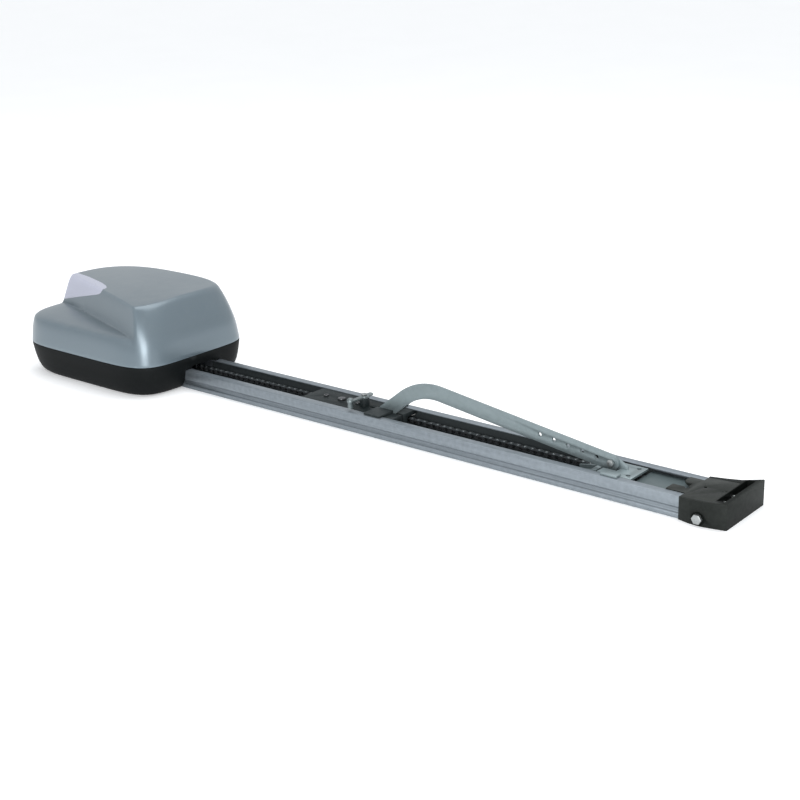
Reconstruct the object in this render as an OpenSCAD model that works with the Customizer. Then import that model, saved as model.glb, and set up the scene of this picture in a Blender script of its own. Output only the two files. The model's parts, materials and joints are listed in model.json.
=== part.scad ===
// Ceiling-mounted garage door operator, laid with its ceiling side down:
// a power head, a C-shaped chain rail, a trolley carriage with a bent arm,
// and an idler end cap. +X runs along the rail towards the idler end,
// +Z points from the ceiling side to the cover side. The origin lies on the
// underside of the rail, on its centreline, where the end cap begins.

/* [Rail] */
// Outer width of the C-shaped rail
rail_w = 84; // [76:1:96]
// Outer height of the rail
rail_h = 32; // [30:1:38]
// Sheet thickness of the rail
rail_t = 1.5; // [1.2:0.1:2]
// Width of each inward lip beside the rail's mouth
lip_w = 14; // [12:1:16]
// Depth of the long groove rolled into each side wall
groove_depth = 2.5; // [1:0.5:3]
// Length of rail between the power head's face and the end cap
rail_visible = 963; // [903:10:1403]
// Diameter of the fixing holes through the rail's floor
rail_hole_d = 6.6; // [5:0.2:8]

/* [Power head] */
// Overall length of the head along the rail
head_length = 344; // [342:2:420]
// Overall width of the head across the rail
head_width = 261; // [257:2:281]
// Height of the black base tray
seam_z = 55; // [50:1:64]
// Height of the cover's crown above the ceiling side
crown_z = 158; // [150:1:180]
// Height of the low shoulder beside the raised part of the cover
shoulder_z = 106; // [98:1:112]
// Sideways offset of the head's middle from the rail's centreline
head_offset = -8.5; // [-14:0.5:-4]
// Squareness of the head's outline; 2 is an ellipse
outline_power = 5.5; // [3:0.5:7]
// Wall thickness of the cover and the base tray
shell_t = 3; // [2.4:0.2:3.4]
// Diameter of the fixing holes in the base tray's floor
base_hole_d = 7; // [5:0.5:9]
// Distance between the base's fixing holes along the rail
base_hole_dx = 250; // [220:5:260]
// Distance between the base's fixing holes across the rail
base_hole_dy = 170; // [150:5:175]

/* [Chain drive] */
// Pitch of the roller chain
chain_pitch = 12.7; // [9.525:3.175:12.7]
// Number of teeth on both sprockets
sprocket_teeth = 9; // [8:1:9]
// Thickness of the sprocket plates
sprocket_t = 2.9; // [2:0.1:3]
// Height of the chain's middle above the rail's underside
chain_z = 17; // [15:0.5:18]
// Radius of the worm wheel at its tooth tips
worm_wheel_r = 30; // [26:1:34]
// Radius of the worm at its thread crest
worm_r = 8; // [7:0.5:9]
// Diameter of the motor's body
motor_d = 63; // [56:1:66]
// Length of the motor's body
motor_length = 84; // [80:2:86]

/* [Carriage] */
// Length of the trolley carriage
carriage_length = 193; // [180:1:210]
// Gap between the carriage's front end and the end cap
carriage_gap = 512; // [500:2:560]
// Clearance between the carriage and the rail's lips
slide_clearance = 0.3; // [0.3:0.1:0.6]

/* [Arm] */
// Depth of the arm's flat bar
arm_w = 24; // [20:1:26]
// Thickness of the arm's flat bar
arm_t = 4; // [3:0.5:5]
// Height of the arm's pivot above the rail's underside
arm_pivot_z = 19; // [18:0.5:21]
// Angle of the arm's short leg above the rail
arm_rise = 38; // [35:1:42]
// Angle of the arm's long leg down towards the rail
arm_fall = 7.8; // [7:0.1:9]
// Bend radius at the arm's middle line
arm_bend_r = 95; // [80:5:110]
// Distance between the arm's adjusting holes
arm_hole_pitch = 24.5; // [22:0.5:26]
// Number of adjusting holes, the bolted one included
arm_holes = 6; // [4:1:8]
// Diameter of the arm's adjusting holes
arm_hole_d = 6.5; // [6.5:0.1:8]

/* [End cap] */
// Length of the idler end cap
cap_length = 70; // [66:1:80]
// Distance of the cap's near end corner from the rail's centreline
cap_near = 41; // [40:1:46]
// Distance of the cap's far end corner from the rail's centreline
cap_far = 67; // [54:1:72]
// Height of the cap at its outer end
cap_end_h = 37; // [36:0.5:40]

/* [Hidden] */
$fn = 48;
mirrored = [-1, 1];
running = 0.05;
air = 0.3;

// Rail
rail_in = rail_w / 2 - rail_t;
mouth = rail_w / 2 - lip_w;
rail_enters = 137;
rail_x0 = -rail_visible - rail_enters;
rail_x1 = 20;
groove_lo = 0.27 * rail_h;
groove_hi = 0.47 * rail_h;
rail_hole_x = [-820, -240];

// Head
head_front = -rail_visible;
head_x = head_front - head_length / 2;
half_l = head_length / 2;
half_w = head_width / 2;
outline_points = 72;
foot_in_x = 19.7;
foot_in_y = 14.7;
top_in_x = 26;
top_in_y = 12;
crown_drop = 8;
crown_r = pow(half_l - top_in_x, 2) / (2 * crown_drop);
tray_opening = rail_w / 2 + 0.4;

// Chain drive
pitch_r = chain_pitch / (2 * sin(180 / sprocket_teeth));
roller_r = 7.75 / 2;
chain_plate = 9.9;
chain_in = 3.3;
chain_pin = 10.2;
drive_x = rail_x0 + 38;
idler_x = 2;
tip_r = pitch_r + 3.2;
shaft_d = 12;
idler_axle_d = 8;
gearbox_z0 = rail_h + 5.3;
gearbox_h = 42;
wheel_z = gearbox_z0 + gearbox_h / 2;
worm_y = worm_wheel_r + worm_r + 0.4;
motor_x1 = drive_x - worm_wheel_r - 16;

// Carriage
carriage_x1 = -carriage_gap;
carriage_x0 = carriage_x1 - carriage_length;
carriage_top = rail_h - 1;
tab_top = rail_h + 3.4;
wing_top = rail_h - rail_t - slide_clearance;
body_y = mouth - 0.6;
wing_y = rail_in - groove_depth - 2.6;
deck_z = chain_z + chain_pin / 2 + 1.9;
keel_y = pitch_r - chain_plate / 2 - 2;
keel_z0 = rail_t + 2.5;
arm_pivot_x = carriage_x1 - 48;
pin_d = 8;
slot_y = arm_t / 2 + air;
tab_x0 = carriage_x1 - 50;
tab_x1 = carriage_x1 - 18;
lever_x = carriage_x1 - 79;
lever_z = rail_h + 12;
lever_reach = mouth + 6;
knob_z = rail_h + 4.3;
lock_x = carriage_x1 - 128;
lock_d = 8;

// Arm
bend = arm_rise + arm_fall;
arm_end_x = -130.3;
arm_end_z = 38;
rise_dir = [cos(arm_rise), sin(arm_rise)];
fall_dir = [cos(arm_fall), -sin(arm_fall)];
arm_span = [arm_end_x - arm_pivot_x, arm_end_z - arm_pivot_z];
turn = rise_dir[0] * fall_dir[1] - rise_dir[1] * fall_dir[0];
rise_len = (arm_span[0] * fall_dir[1] - arm_span[1] * fall_dir[0]) / turn;
bend_cut = arm_bend_r * tan(bend / 2);
bolt_d = arm_hole_d - 2 * running;
hex_af = 10;
hex_h = 4;

// Door bracket
bracket_t = 3;
bracket_x0 = arm_end_x - 8;
bracket_x1 = arm_end_x + 46;
bracket_top = rail_h;
ear_y = arm_t / 2 + air;

// End cap
cap_wall = 1.5;
cap_side = rail_w / 2 + cap_wall;
cap_z0 = rail_h + 1.2;
pocket_x0 = 50;
pocket_x1 = cap_length - 8;
header_x = 31;
header_z = 10.3;
header_d = 8;

// Superellipse outline of the head, drawn in from its widest line
function outline(in_x, in_y) = [for (i = [0 : outline_points - 1])
    let (a = 360 * i / outline_points, c = cos(a), s = sin(a), e = 2 / outline_power)
    [head_x + (half_l - in_x) * sign(c) * pow(abs(c), e),
     head_offset + (half_w - in_y) * sign(s) * pow(abs(s), e)]];

module ring(z, in_x, in_y) {
    translate([0, 0, z]) linear_extrude(0.01) polygon(outline(in_x, in_y));
}

module across(length) {
    rotate([90, 0, 0]) linear_extrude(length, center = true) children();
}

module rod_y(d, y0, y1) {
    translate([0, y0, 0]) rotate([-90, 0, 0]) cylinder(d = d, h = y1 - y0);
}

module rod_x(d, x0, x1) {
    translate([x0, 0, 0]) rotate([0, 90, 0]) cylinder(d = d, h = x1 - x0);
}

module block(from, to) {
    translate(from) cube(to - from);
}

// Hexagon prism along +Z with two flats facing +Y and -Y
module hexagon(af, h) {
    cylinder(r = af / sqrt(3), h = h, $fn = 6);
}

module pan_screw(d, length) {
    cylinder(d = d, h = length);
    translate([0, 0, length]) difference() {
        cylinder(d = 2 * d, h = 0.6 * d);
        translate([0, 0, 0.3 * d]) cylinder(d = d, h = d, $fn = 6);
    }
}

// ---------- power head shells ----------
module tray_form(inset, over = 0) {
    hull() {
        ring(inset, foot_in_x + inset, foot_in_y + inset);
        ring(6, foot_in_x - 7 + inset, foot_in_y - 6 + inset);
        ring(18, 6 + inset, 5 + inset);
        ring(seam_z - 0.01 + over, inset, inset);
    }
}

base_screw_x = half_l - 42;
base_screw_y = half_w - 32;

module at_cover_screws() {
    for (i = mirrored, j = mirrored)
        translate([head_x + i * base_screw_x, head_offset + j * base_screw_y, 0]) children();
}

module at_base_holes() {
    for (i = mirrored, j = mirrored)
        translate([head_x + i * base_hole_dx / 2, head_offset + j * base_hole_dy / 2, 0])
            children();
}

gland_y = head_offset + 41;
gland_z = 34;
gland_out = head_x - half_l + 5.2;
gland_in = gland_out + 2.4;

module base_tray() {
    color("#26292b") difference() {
        tray_form(0);
        difference() {
            tray_form(shell_t, 1);
            at_cover_screws() cylinder(d = 12, h = seam_z);
            at_base_holes() cylinder(d = 16, h = 8);
            for (s = mirrored) {
                y = s * (tray_opening + shell_t / 2);
                block([rail_x0 - 4, y - shell_t / 2, 0], [head_front, y + shell_t / 2, rail_h]);
            }
            block([rail_x0 - 4, -tray_opening, 0], [rail_x0 - 0.4, tray_opening, rail_h]);
        }
        block([rail_x0 - 0.4, -tray_opening, -1], [head_front + 5, tray_opening, rail_h + 0.4]);
        block([head_front - 30, -mouth, rail_h - 1], [head_front + 5, mouth, rail_h + 5]);
        at_cover_screws() translate([0, 0, -1]) cylinder(d = 4.2, h = seam_z + 2);
        at_cover_screws() translate([0, 0, -1]) cylinder(d = 9, h = 9);
        at_base_holes() translate([0, 0, -1]) cylinder(d = base_hole_d, h = 12);
        translate([0, gland_y, gland_z]) {
            rod_x(16, gland_out - 10, gland_in + 10);
            rod_x(24, gland_out - 20, gland_out);
            rod_x(24, gland_in, gland_in + 12);
        }
    }
}

// The cut beside the raised part of the cover: a leaning wall that turns
// from upright at the front corner to a 45 degree slope at the back
recess_lo = shoulder_z - 1;
recess_hi = crown_z - 6;
recess_steps = 6;

function recess_y(x, z) = let (
        run = head_front - 47 - x,
        low = head_offset - 110 + 0.299 * run,
        high = head_offset - 105.5 + 0.422 * run)
    low + (high - low) * (z - recess_lo) / (recess_hi - recess_lo);

module recess_cut(shift) {
    z_lo = seam_z + 5;
    z_hi = crown_z + 20;
    y_out = head_offset - half_w - 30;
    x_of = [for (i = [0 : recess_steps]) head_front - 10 - i * (head_length + 20) / recess_steps];
    points = [for (x = x_of) each [
        [x, recess_y(x, z_lo) - shift, z_lo], [x, recess_y(x, z_hi) - shift, z_hi],
        [x, y_out, z_hi], [x, y_out, z_lo]]];
    sides = [for (i = [0 : recess_steps - 1], k = [0 : 3])
        let (a = 4 * i + k, b = 4 * i + (k + 1) % 4) each [[a, b, b + 4], [a, b + 4, a + 4]]];
    last = 4 * recess_steps;
    polyhedron(points, concat(sides, [[3, 2, 1, 0]], [[last, last + 1, last + 2, last + 3]]));
}

module cover_form(inset, under = 0) {
    hull() {
        ring(seam_z - under, inset, inset);
        ring(seam_z + 23, 1 + inset, 1 + inset);
        ring(shoulder_z - 14, 6 + inset, 6 + inset);
        ring(shoulder_z - 4 - inset, 18 + inset, 18 + inset);
        ring(shoulder_z - inset, 50 + inset, 50 + inset);
    }
    difference() {
        intersection() {
            hull() {
                ring(seam_z - under, inset, inset);
                ring(seam_z + 25, 2 + inset, 1 + inset);
                ring(crown_z - crown_drop - 4, top_in_x - 2 + inset, top_in_y + inset);
                ring(crown_z, top_in_x + 10 + inset, top_in_y + 8 + inset);
            }
            translate([head_x, head_offset, crown_z - inset - crown_r])
                rotate([90, 0, 0]) cylinder(r = crown_r, h = head_width + 20,
                                            center = true, $fn = 720);
        }
        recess_cut(-inset);
    }
}

module lens_zone() {
    tip_x = head_front - 201;
    back = head_front - head_length - 20;
    intersection() {
        translate([0, head_offset - 20, 0]) across(head_width)
            polygon([[tip_x, crown_z + 20], [tip_x, crown_z - 8], [tip_x - 15, crown_z - 20],
                     [back, shoulder_z - 1], [back, crown_z + 20]]);
        translate([0, 0, shoulder_z - 20]) linear_extrude(100)
            polygon([[tip_x + 1, head_offset - half_w], [tip_x + 1, head_offset - 31],
                     [tip_x - 50, head_offset - 6], [tip_x - 135, head_offset + 18],
                     [back, head_offset + 25], [back, head_offset - half_w]]);
    }
}

module cover_shell() {
    difference() {
        cover_form(0);
        difference() {
            cover_form(shell_t, 1);
            translate([0, 0, seam_z + 6]) at_cover_screws() cylinder(d = 11, h = 60);
        }
    }
}

module cover() {
    color("#9fb0b8") difference() {
        cover_shell();
        lens_zone();
        translate([0, 0, seam_z - 1]) at_cover_screws() cylinder(d = 3.2, h = 26);
    }
}

module lamp_lens() {
    color("#d8dcea", 0.6) intersection() {
        difference() {
            cover_form(0);
            cover_form(shell_t, 1);
        }
        lens_zone();
    }
}

module cover_screws() {
    color("silver") at_cover_screws() {
        translate([0, 0, 8]) cylinder(d = 3.2 - 2 * running, h = seam_z + 10);
        translate([0, 0, 4.3]) difference() {
            cylinder(d = 8, h = 3.7);
            translate([0, 0, -1]) cylinder(d = 4, h = 3, $fn = 6);
        }
    }
}

module cable_gland() {
    flange = 4;
    color("#303335") translate([0, gland_y, gland_z]) difference() {
        union() {
            rod_x(15.6, gland_out - 1, gland_in + 8);
            translate([gland_out - flange, 0, 0]) rotate([0, 90, 0]) hexagon(20, flange);
            translate([gland_in, 0, 0]) rotate([0, 90, 0]) hexagon(20, 4);
        }
        rod_x(8, gland_out - 20, gland_in + 20);
    }
}

// ---------- rail ----------
module rail_wall_line(d) {
    polygon([[-rail_w / 2 + d, d], [rail_w / 2 - d, d],
             [rail_w / 2 - d, groove_lo - d / 2], [rail_w / 2 - groove_depth - d, groove_lo + 2],
             [rail_w / 2 - groove_depth - d, groove_hi - 2], [rail_w / 2 - d, groove_hi + d / 2],
             [rail_w / 2 - d, rail_h - d], [-rail_w / 2 + d, rail_h - d],
             [-rail_w / 2 + d, groove_hi + d / 2], [-rail_w / 2 + groove_depth + d, groove_hi - 2],
             [-rail_w / 2 + groove_depth + d, groove_lo + 2], [-rail_w / 2 + d, groove_lo - d / 2]]);
}

module rail() {
    color("#a9b3ba") difference() {
        translate([rail_x0, 0, 0]) rotate([90, 0, 90]) linear_extrude(rail_x1 - rail_x0)
            difference() {
                rail_wall_line(0);
                rail_wall_line(rail_t);
                translate([-mouth, rail_h - rail_t - 1]) square([2 * mouth, rail_t + 2]);
            }
        for (x = rail_hole_x) translate([x, 0, -1]) cylinder(d = rail_hole_d, h = rail_t + 2);
        translate([stop_x - 8, 0, -1]) cylinder(d = 6.2, h = rail_t + 2);
    }
}

guide_x1 = -86;
guide_t = 1.2;
guide_y = rail_in - groove_depth - 0.4;

module chain_guides() {
    x0 = head_front - 20;
    color("#2e3236") for (s = mirrored) {
        y0 = s > 0 ? guide_y - guide_t : -guide_y;
        block([x0, y0, rail_t], [guide_x1, y0 + guide_t, rail_h - rail_t - 1.6]);
        foot_y = s > 0 ? guide_y - 7 : -guide_y;
        block([x0, foot_y, rail_t], [guide_x1, foot_y + 7, rail_t + guide_t]);
    }
}

stop_x = arm_end_x - 40;

module travel_stop() {
    reach = 20;
    top = rail_h - 7;
    sheet = 2.5;
    color("#aab4ba") translate([stop_x, 0, 0]) difference() {
        union() {
            for (y = [-keel_y + sheet / 2, keel_y - sheet / 2]) translate([0, y, 0])
                across(sheet) polygon([[-reach, rail_t], [reach, rail_t], [reach, top],
                                       [reach - 8, top], [-reach, top - 6]]);
            block([-reach, -keel_y, rail_t], [reach, keel_y, rail_t + sheet]);
            block([reach - 8, -keel_y, top - sheet], [reach, keel_y, top]);
        }
        translate([-8, 0, 0]) cylinder(d = 6.2, h = 10);
    }
}

module stop_screw() {
    color("silver") translate([stop_x - 8, 0, rail_t + 2.5]) {
        translate([0, 0, -rail_t - 2.3]) cylinder(d = 6, h = rail_t + 2.4);
        hexagon(10, 4);
    }
}

// ---------- head fittings ----------
saddle_z = rail_h + 0.3;
saddle_t = 4;
saddle_half = tray_opening + 22;
saddle_length = 70;
saddle_screw_x = [rail_x0 + 6, rail_x0 + saddle_length - 6];

module rail_saddle() {
    color("#8f999f") difference() {
        union() {
            block([rail_x0, -saddle_half, saddle_z],
              [rail_x0 + saddle_length, saddle_half, saddle_z + saddle_t]);
            for (s = mirrored) {
                y = s * (saddle_half - 5);
                block([rail_x0, y - 5, shell_t], [rail_x0 + saddle_length, y + 5, saddle_z]);
            }
        }
        translate([drive_x, 0, saddle_z - 1]) cylinder(d = 2 * tip_r - 14, h = saddle_t + 2);
        for (x = saddle_screw_x, s = mirrored)
            translate([x, s * (saddle_half - 5), saddle_z - 20]) cylinder(d = 4.9, h = 30);
    }
}

module saddle_screws() {
    color("silver") for (x = saddle_screw_x, s = mirrored)
        translate([x, s * (saddle_half - 5), saddle_z - 14]) pan_screw(4.8, 14 + saddle_t);
}

gear_wall = 4;
gear_half_x = worm_wheel_r + gear_wall + 2;
gear_y0 = -worm_wheel_r - gear_wall - 1;
gear_y1 = worm_y + worm_r + gear_wall + 1;
gear_screw = [for (i = mirrored, y = [gear_y0 + 4, gear_y1 - 4]) [drive_x + i * (gear_half_x - 4), y]];

module gearbox_housing() {
    color("#b4bbc0") difference() {
        block([drive_x - gear_half_x, gear_y0, gearbox_z0 - 1],
              [drive_x + gear_half_x, gear_y1, gearbox_z0 + gearbox_h]);
        difference() {
            union() {
                translate([drive_x, 0, gearbox_z0 + 8]) cylinder(r = worm_wheel_r + 1, h = gearbox_h);
                block([drive_x - gear_half_x + 6, worm_y - worm_r - 1.5, gearbox_z0 + 8],
                      [drive_x + gear_half_x - 6, worm_y + worm_r + 1, gearbox_z0 + gearbox_h + 1]);
            }
            for (p = gear_screw) translate([p[0], p[1], gearbox_z0]) cylinder(d = 9, h = gearbox_h);
        }
        translate([drive_x, 0, gearbox_z0 - 3]) cylinder(d = 26, h = 12);
        translate([0, worm_y, wheel_z])
            rod_x(10 + 2 * running, drive_x - gear_half_x - 1, drive_x + gear_half_x - 3);
        for (p = gear_screw) translate([p[0], p[1], gearbox_z0 + gearbox_h - 14])
            cylinder(d = 4.1, h = 20);
    }
}

lid_z = gearbox_z0 + gearbox_h;

module gearbox_lid() {
    color("#a3abb0") difference() {
        block([drive_x - gear_half_x, gear_y0, lid_z], [drive_x + gear_half_x, gear_y1, lid_z + 4]);
        translate([drive_x, 0, lid_z - 1]) cylinder(d = 26, h = 3.5);
        for (p = gear_screw) translate([p[0], p[1], lid_z - 1]) cylinder(d = 4.1, h = 10);
    }
}

module gearbox_screws() {
    color("silver") for (p = gear_screw) translate([p[0], p[1], lid_z - 12]) pan_screw(4, 16);
}

module bearing_ring(z, h) {
    translate([drive_x, 0, z]) difference() {
        cylinder(d = 26, h = h);
        translate([0, 0, -1]) cylinder(d = shaft_d + 2 * running, h = h + 2);
    }
}

module shaft_bearings() {
    color("#c9ced2") {
        bearing_ring(gearbox_z0, 8);
        bearing_ring(lid_z - 5.5, 8);
    }
}

module output_shaft() {
    color("#c2c8cc") translate([drive_x, 0, 0]) {
        translate([0, 0, chain_z - sprocket_t / 2 - 5])
            cylinder(d = shaft_d, h = lid_z + 2 - chain_z + sprocket_t / 2 + 5);
    }
}

module worm_wheel() {
    teeth = 30;
    z0 = wheel_z - 6;
    color("#cdb27a") translate([drive_x, 0, z0]) difference() {
        cylinder(r = worm_wheel_r, h = 12);
        translate([0, 0, -1]) cylinder(d = shaft_d, h = 14);
        for (i = [0 : teeth - 1]) rotate(i * 360 / teeth)
            translate([worm_wheel_r - 2.4, -1.5, -1]) cube([5, 3, 14]);
        for (i = [0 : 5]) rotate(i * 60) translate([worm_wheel_r * 0.55, 0, -1])
            cylinder(d = 8, h = 14);
    }
}

module worm_shaft() {
    pitch = 6;
    x0 = motor_x1 + 1;
    color("#b9bfc4") translate([0, worm_y, wheel_z]) difference() {
        union() {
            rod_x(10, x0 - 8, drive_x + gear_half_x - 3.6);
            rod_x(2 * worm_r, drive_x - 21, drive_x + 21);
        }
        for (i = [-3 : 3]) translate([drive_x + i * pitch - 1.6, 0, 0]) rotate([0, 90, 0])
            difference() {
                cylinder(r = worm_r + 2, h = 3.2);
                translate([0, 0, -1]) cylinder(r = worm_r - 2.2, h = 6);
            }
    }
}

module motor_body() {
    color("#3b4044") translate([0, worm_y, wheel_z]) difference() {
        union() {
            rod_x(motor_d, motor_x1 - motor_length, motor_x1 - 6);
            rod_x(30, motor_x1 - 6, drive_x - gear_half_x);
        }
        rod_x(10 + 2 * running, motor_x1 - 12, drive_x);
    }
}

module motor_end_bell() {
    x = motor_x1 - motor_length;
    color("#9aa2a7") translate([0, worm_y, wheel_z]) {
        rod_x(motor_d - 3, x - 6, x);
        rod_x(24, x - 13, x - 6);
    }
}

// Toothed disc whose gaps follow the chain's rollers
module sprocket(z) {
    translate([0, 0, z - sprocket_t / 2]) difference() {
        linear_extrude(sprocket_t) difference() {
            circle(r = tip_r - 0.4);
            for (i = [0 : sprocket_teeth - 1]) rotate((i + 0.5) * 360 / sprocket_teeth)
                translate([pitch_r, 0]) {
                    circle(r = roller_r + 0.25);
                    translate([0, -roller_r * 0.95]) square([10, roller_r * 1.9]);
                }
        }
        translate([0, 0, -1]) cylinder(d = shaft_d, h = sprocket_t + 2);
    }
}

module drive_sprocket() {
    color("#aeb5ba") translate([drive_x, 0, 0]) {
        sprocket(chain_z);
        translate([0, 0, chain_z + sprocket_t / 2]) difference() {
            cylinder(r = pitch_r - chain_plate / 2 - 1, h = 5);
            translate([0, 0, -1]) cylinder(d = shaft_d, h = 7);
        }
    }
}

// ---------- electrics ----------
trafo_x = head_front - head_length + 63;
trafo_y = head_offset + 41;

module transformer_core() {
    color("#6d7276") difference() {
        block([trafo_x - 33, trafo_y - 22, shell_t + 3], [trafo_x + 33, trafo_y + 22, shell_t + 58]);
        for (s = mirrored) block([trafo_x + s * 16 - 5, trafo_y - 23, shell_t + 14],
                                 [trafo_x + s * 16 + 5, trafo_y + 23, shell_t + 47]);
    }
}

module transformer_coil() {
    color("#c9b88a") difference() {
        block([trafo_x - 20.6, trafo_y - 31, shell_t + 14.4], [trafo_x + 20.6, trafo_y + 31, shell_t + 46.6]);
        block([trafo_x - 11.3, trafo_y - 22.3, shell_t + 13], [trafo_x + 11.3, trafo_y + 22.3, shell_t + 48]);
        for (s = mirrored) block([trafo_x + s * 26 - 4.7, trafo_y - 22.3, shell_t + 13],
                                 [trafo_x + s * 26 + 4.7, trafo_y + 22.3, shell_t + 48]);
    }
}

module transformer_clamp() {
    color("#aab2b7") difference() {
        union() {
            block([trafo_x - 36, trafo_y - 15, shell_t], [trafo_x + 36, trafo_y + 15, shell_t + 3]);
            for (s = mirrored) block([trafo_x + s * 34.5 - 1.5, trafo_y - 15, shell_t],
                                     [trafo_x + s * 34.5 + 1.5, trafo_y + 15, shell_t + 61]);
            block([trafo_x - 36, trafo_y - 15, shell_t + 58], [trafo_x + 36, trafo_y + 15, shell_t + 61]);
        }
    }
}

board_x0 = head_front - head_length + 37;
board_x1 = board_x0 + 170;
board_y0 = head_offset - 90;
board_y1 = head_offset - 25;
board_z = 50;
board_t = 1.6;
pillar_at = [for (x = [board_x0 + 12, board_x1 - 12], y = [board_y0 + 22, board_y1 - 8]) [x, y]];

module control_board() {
    color("#2f6b46") difference() {
        block([board_x0, board_y0, board_z], [board_x1, board_y1, board_z + board_t]);
        for (p = pillar_at) translate([p[0], p[1], board_z - 1]) cylinder(d = 3.6, h = 4);
    }
}

module board_pillars() {
    color("#c7ccd0") for (p = pillar_at) translate([p[0], p[1], 0]) {
        translate([0, 0, shell_t]) cylinder(d = 8, h = board_z - shell_t);
        translate([0, 0, board_z]) cylinder(d = 3.5, h = board_t);
        translate([0, 0, board_z + board_t]) cylinder(d = 6, h = 2);
    }
}

board_top = board_z + board_t;

module terminal_blocks() {
    color("#3f7f5c") for (i = [0 : 2]) translate([board_x0 + 24 + i * 44, board_y0 + 2, board_top])
        difference() {
            cube([40, 12, 11]);
            for (k = [0 : 7]) translate([2.5 + 5 * k, 6, 6]) cylinder(d = 3.4, h = 8);
        }
}

module relays() {
    color("#2b4f7c") for (i = [0 : 2])
        block([board_x0 + 26 + i * 22, board_y1 - 26, board_top],
              [board_x0 + 42 + i * 22, board_y1 - 6, board_top + 15]);
}

module capacitor() {
    color("#38424d") translate([board_x1 - 28, board_y1 - 16, board_top]) cylinder(d = 16, h = 26);
}

module radio_module() {
    x = board_x0 + 112;
    y = board_y0 + 20;
    color("#c1a94f") {
        block([x, y, board_top], [x + 30, y + 1.6, board_top + 18]);
        block([x + 5, y + 1.6, board_top + 5], [x + 25, y + 4.6, board_top + 14]);
    }
}

lamp_x = head_front - head_length + 45;
lamp_y = head_offset + 21;
lamp_z = 122;

module lamp_socket() {
    foot_y = head_offset - 14;
    color("#e6e3da") difference() {
        union() {
            translate([lamp_x + 34, lamp_y, lamp_z]) rotate([0, 90, 0]) cylinder(d = 30, h = 26);
            translate([lamp_x + 56, 0, 0]) rotate([90, 0, 90]) linear_extrude(4)
                polygon([[foot_y, shell_t], [foot_y + 16, shell_t], [foot_y + 16, lamp_z - 27],
                         [lamp_y + 14, lamp_z - 15], [lamp_y + 14, lamp_z + 15],
                         [lamp_y - 14, lamp_z + 15], [foot_y, lamp_z - 12]]);
            block([lamp_x + 40, foot_y, shell_t], [lamp_x + 60, foot_y + 16, shell_t + 4]);
        }
        translate([lamp_x + 33, lamp_y, lamp_z]) rotate([0, 90, 0]) cylinder(d = 26, h = 20);
    }
}

module lamp_bulb() {
    color("#f3f0e4", 0.6) translate([lamp_x, lamp_y, lamp_z]) rotate([0, 90, 0]) rotate_extrude()
        polygon([[0, -12], [10, -9], [15, 0], [14, 10], [9, 20], [12.7, 32], [12.7, 53], [0, 53]]);
}

// ---------- chain ----------
chain_z0 = chain_z - chain_pin / 2 + 1.4;
chain_z1 = chain_z + chain_pin / 2 - 1.4;

// One straight length: two rows of side plates with the rollers' band between
module chain_run(side) {
    y = side * pitch_r;
    half = chain_plate / 2;
    reach = tip_r + 4;
    color("#33373b") {
        block([drive_x, y - half, chain_z0], [idler_x, y + half, chain_z - chain_in / 2]);
        block([drive_x, y - half, chain_z + chain_in / 2], [idler_x, y + half, chain_z1]);
        block([drive_x + reach, y - roller_r, chain_z - chain_in / 2],
              [idler_x - reach, y + roller_r, chain_z + chain_in / 2]);
    }
}

module chain_near_run() {
    chain_run(-1);
}

module chain_far_run() {
    chain_run(1);
}

// The side plates where the chain turns round each sprocket
module chain_turns() {
    half = chain_plate / 2;
    h = chain_z - chain_in / 2 - chain_z0;
    color("#33373b") for (x = [drive_x, idler_x], z = [chain_z0, chain_z + chain_in / 2])
        translate([x, 0, z]) difference() {
            cylinder(r = pitch_r + half, h = h);
            translate([0, 0, -1]) cylinder(r = pitch_r - half, h = h + 2);
            away = x == drive_x ? 0 : -100;
            translate([away, -50, -1]) cube([100, 100, h + 2]);
        }
}

// ---------- carriage ----------
module carriage_body() {
    color("#2c3134") difference() {
        union() {
            block([carriage_x0, -wing_y, deck_z], [carriage_x1, wing_y, wing_top]);
            block([carriage_x0, -body_y, deck_z], [carriage_x1, body_y, carriage_top]);
            block([arm_pivot_x - 30, -keel_y, keel_z0], [carriage_x1, keel_y, deck_z]);
            block([tab_x0, -body_y, deck_z], [tab_x1, body_y, tab_top]);
            block([tab_x0, -mouth - 8, rail_h + slide_clearance], [tab_x1, mouth + 8, tab_top]);
            translate([lever_x, 0, carriage_top]) cylinder(d = 16, h = lever_z - carriage_top - air);
        }
        block([arm_pivot_x - 21, -slot_y, -1], [carriage_x1 + 1, slot_y, tab_top + 1]);
        translate([arm_pivot_x, 0, arm_pivot_z]) rod_y(pin_d + 2 * running, -keel_y - 1, keel_y + 1);
        translate([lock_x, 0, 0]) cylinder(d = lock_d + 2 * running, h = carriage_top + 1);
        translate([lever_x, 0, deck_z + 2]) cylinder(d = 5 + 2 * running, h = 40);
        for (x = [carriage_x0 + 9, carriage_x1 - 9]) for (s = mirrored)
            translate([x, s * (wing_y - 4), deck_z - 1]) cylinder(d = 4.1, h = wing_top - deck_z + 2);
        for (x = shuttle_screw_x) translate([x, 0, deck_z - 1]) cylinder(d = 4.1, h = 20);
    }
}

module slide_pads() {
    color("#d9dcd6") for (x = [carriage_x0 + 9, carriage_x1 - 9], s = mirrored)
        translate([x, s * (wing_y - 4), 0]) {
            translate([-6, -3.8, deck_z - 3]) cube([12, 7.6, 3]);
            translate([0, 0, deck_z]) cylinder(d = 4, h = wing_top - deck_z);
        }
}

shuttle_x0 = lock_x - 40;
shuttle_x1 = lock_x + 40;
shuttle_screw_x = [shuttle_x0 + 6, shuttle_x1 - 6];
shuttle_y0 = -pitch_r - chain_plate / 2 - 3.2;

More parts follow.
